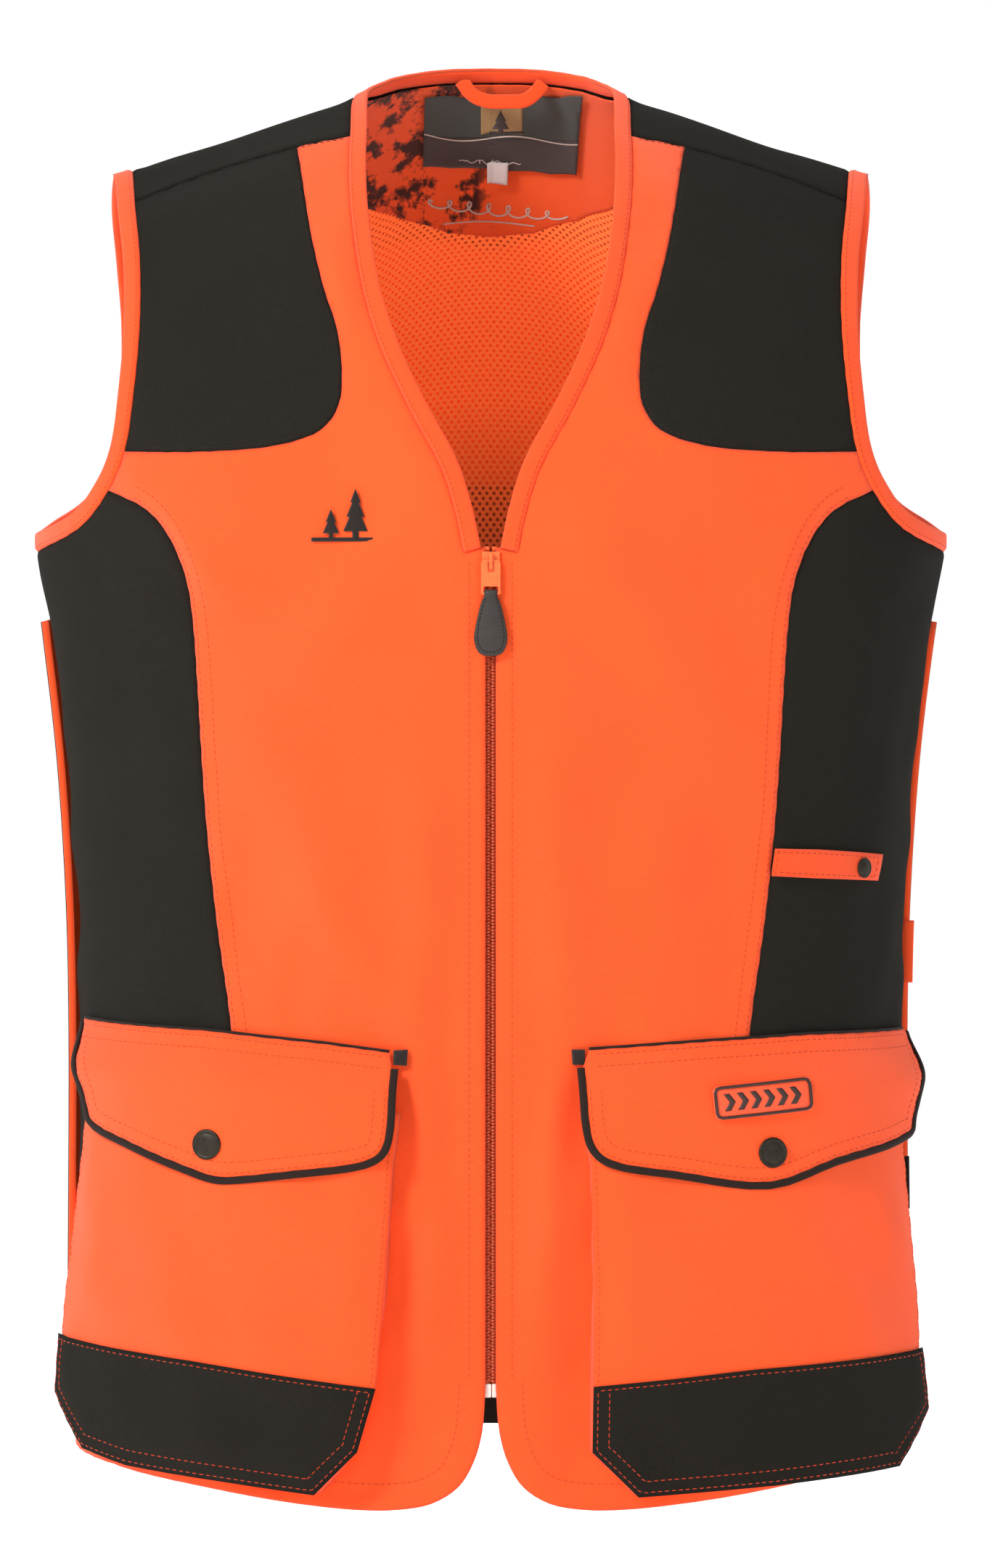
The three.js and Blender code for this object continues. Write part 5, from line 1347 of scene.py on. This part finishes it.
strapOutline = [(139, -375), (161, -375.5), (193, -378), (190.5, -391), (160, -389.7), (137.3, -388.5)]
piece = clothPiece("side_strap", front(strapOutline, 2), bindingTape, base=3.0, thickness=1.0, gap=2.6, pucker=0.12,
                   body=None, held="hung")
bendFrom(piece, "strap_hinge", (1, 0, 0))
strapEdge = [(141, -377), (161, -377.5), (191, -379.8), (188.9, -389.2), (160, -387.7), (139.3, -386.6)]
seam = stitching("side_strap_stitches", "side_strap", [front(strapEdge + strapEdge[:1], 3)], orangeThread, body=None)
bendFrom(seam, "strap_hinge", (1, 0, 0))
smallCap = [(0, 0), (4.5, 0), (4.9, 0.2), (5, 0.6), (4.7, 1.0), (4.1, 1.15), (3.7, 1.0), (3.2, 1.2), (1.6, 1.5),
            (0, 1.55)]
strapSnap = tuple(front([(182.4, -384.6)], 2)[0])
turnedPiece("strap_snap_cap", smallCap, strapSnap, 3.3, gunmetal, body="side_strap")
turnedPiece("strap_snap_stud", [(0, 0), (3.3, 0), (3.5, 0.3), (3.3, 0.8), (0, 0.8)], strapSnap, 0.3, gunmetal, steps=32)


def edgeFin(name, degrees, low, high, thickness, outer, look):
    # a folded tape that stands out of a seam
    s = side(degrees, low)[0]
    line = np.stack([np.full(20, s + thickness / 2), np.linspace(low, high, 20)], -1)
    half = thickness / 2
    section = [(-half, 0.4), (-half, outer - 0.5), (-half * 0.5, outer), (half * 0.5, outer), (half, outer - 0.5),
               (half, 0.4)]
    swept(name, line, section, look, sheet=False)


edgeFin("side_tab", 94, -442, -411, 2.0, 6.5, bindingTape)
edgeFin("side_label", 88, -554, -528, 1.2, 4.0, darkTwill)

game = {"rise": 2.2, "top": -262, "bottom": -655, "flare": {"left": 0.5, "right": 1.5}}
leftEdge = form["roundness"] * math.radians(97)
rightEdge = 2 * halfTurn - form["roundness"] * math.radians(91.5)


def gameFace(places, more=0.0):
    along = np.clip((places[:, 1] - game["bottom"]) / (game["top"] - game["bottom"]), 0, 1)
    total = game["rise"] + more
    for edgeName, edgeS in (("left", leftEdge), ("right", rightEdge)):
        away = np.abs(places[:, 0] - edgeS) / form["roundness"]
        total = total + game["flare"][edgeName] * np.exp(-(away / 0.3) ** 2) * np.sin(math.pi * along) ** 0.5
    return total


levels = np.linspace(game["top"], game["bottom"], 30)
leftSide = np.stack([np.full(30, leftEdge), levels], -1)
rightSide = np.stack([np.full(30, rightEdge), levels], -1)
gameTopLine = smooth([(leftEdge, game["top"]), (halfTurn, game["top"] + 12), (rightEdge, game["top"])], 12)
gameOutline = joined(leftSide[::-1], gameTopLine[1:-1], rightSide)


def gameDrape(places, far):
    soft = softNoise(places, 91, 120) * 0.9
    for k in range(7):
        a = np.array([halfTurn - 150 + 50 * k, -640])
        soft = soft + fold(places, a, a + [8 * (k % 3 - 1), 250], 12, 1.1 - 0.2 * (k % 2))
    return soft * smoothstep(far, 0, 15)


clothPiece("game_pocket", gameOutline, orangeCloth, base=lambda p: gameFace(p, 1.6), gap=6.0, shape=gameDrape,
           held="hung")
for name, line, out in (("left", leftSide, -1), ("right", rightSide, 1)):
    tapeLine = line + [out * 0.2, 0]
    profile = [(0, -1.4), (0, 1.7), (0.5, 2.0), (3.5, 2.0), (4, 1.7), (4, -1.4), (3.5, -1.6), (0.5, -1.6)]
    turn = 1 if out < 0 else -1
    swept("game_pocket_tape_" + name, tapeLine, [(turn * a, g) for a, g in profile], bindingTape, height=gameFace)
    swept("game_pocket_cord_" + name, tapeLine, [(turn * (a * 0.4 + 0.6), g * 0.5 + 1.9) for a, g in pipingRound],
          darkTape, height=gameFace, nodes=(), sheet=False)
stitching("game_pocket_stitches", "game_pocket",
          [shifted(gameTopLine[1:-1], far) for far in (3, 9)]
          + [leftSide[1:-1] + [4.5, 0], rightSide[1:-1] - [4.5, 0]], orangeThread)
print("small pieces made")

# ---- floor, light and camera ----

stage = {"level": -0.76, "reach": 9.0, "tone": (0.93, 0.93, 0.93, 1), "mottle": (0.95, 0.95, 0.95, 1), "glow": 0.42}
floorMesh = bpy.data.meshes.new("floor")
corners = [(x * stage["reach"], y * stage["reach"], stage["level"]) for x, y in ((-1, -1), (1, -1), (1, 1), (-1, 1))]
floorMesh.from_pydata(corners, [], [(0, 1, 2, 3)])
paper, tree, shader = startMaterial("palePaper", Roughness=0.95)
place = tree.nodes.new("ShaderNodeTexCoord").outputs["Object"]
tree.links.new(mixed(tree, noise(tree, place, 3, 2), stage["tone"], stage["mottle"]), shader.inputs["Base Color"])
shader.inputs["Emission Color"].default_value = (1, 1, 1, 1)
shader.inputs["Emission Strength"].default_value = stage["glow"]
floorMesh.materials.append(paper)
floor = bpy.data.objects.new("floor", floorMesh)
bpy.context.scene.collection.objects.link(floor)

lights = {
    "key": {"at": (-2.1, -2.3, 1.5), "size": 0.9, "power": 118},
    "fill": {"at": (2.1, -2.4, 0.4), "size": 1.8, "power": 15},
    "front": {"at": (0.0, -3.6, -0.3), "size": 1.6, "power": 8},
    "backWash": {"at": (0.0, 0.9, 2.4), "size": 2.6, "power": 30},
}
for name, values in lights.items():
    lamp = bpy.data.lights.new(name, "AREA")
    lamp.energy, lamp.size = values["power"], values["size"]
    light = bpy.data.objects.new(name, lamp)
    light.location = values["at"]
    light.rotation_euler = (Vector((0, 0, -0.34)) - Vector(values["at"])).to_track_quat("-Z", "Y").to_euler()
    bpy.context.scene.collection.objects.link(light)
world = bpy.data.worlds.new("studio")
world.use_nodes = True
sky = {"behind": 1.0, "infront": 0.2, "soft": 0.35}
tree = world.node_tree
direction = tree.nodes.new("ShaderNodeSeparateXYZ")
tree.links.new(tree.nodes.new("ShaderNodeTexCoord").outputs["Generated"], direction.inputs[0])
fade = tree.nodes.new("ShaderNodeMapRange")
for socket, value in (("From Min", -sky["soft"]), ("From Max", sky["soft"]), ("To Min", sky["infront"]),
                      ("To Max", sky["behind"])):
    fade.inputs[socket].default_value = value
tree.links.new(direction.outputs["Y"], fade.inputs["Value"])
tree.links.new(fade.outputs["Result"], tree.nodes["Background"].inputs["Strength"])
tree.nodes["Background"].inputs["Color"].default_value = (1, 1, 1, 1)
bpy.context.scene.world = world
bpy.context.scene.view_settings.view_transform = "Standard"

view = {"away": 7.0, "height": 0.7718, "at": (0.00136, -0.06, -0.3434)}
camera = bpy.data.cameras.new("camera")
camera.sensor_fit, camera.sensor_height, camera.sensor_width = "VERTICAL", 24, 24
camera.lens = 24 * view["away"] / view["height"]
camera.clip_end = 60
eye = bpy.data.objects.new("camera", camera)
eye.location = (view["at"][0], view["at"][1] - view["away"], view["at"][2])
eye.rotation_euler = (math.pi / 2, 0, 0)
bpy.context.scene.collection.objects.link(eye)
bpy.context.scene.camera = eye

def plain(box):
    return [[float(x) for x in corner] for corner in box]
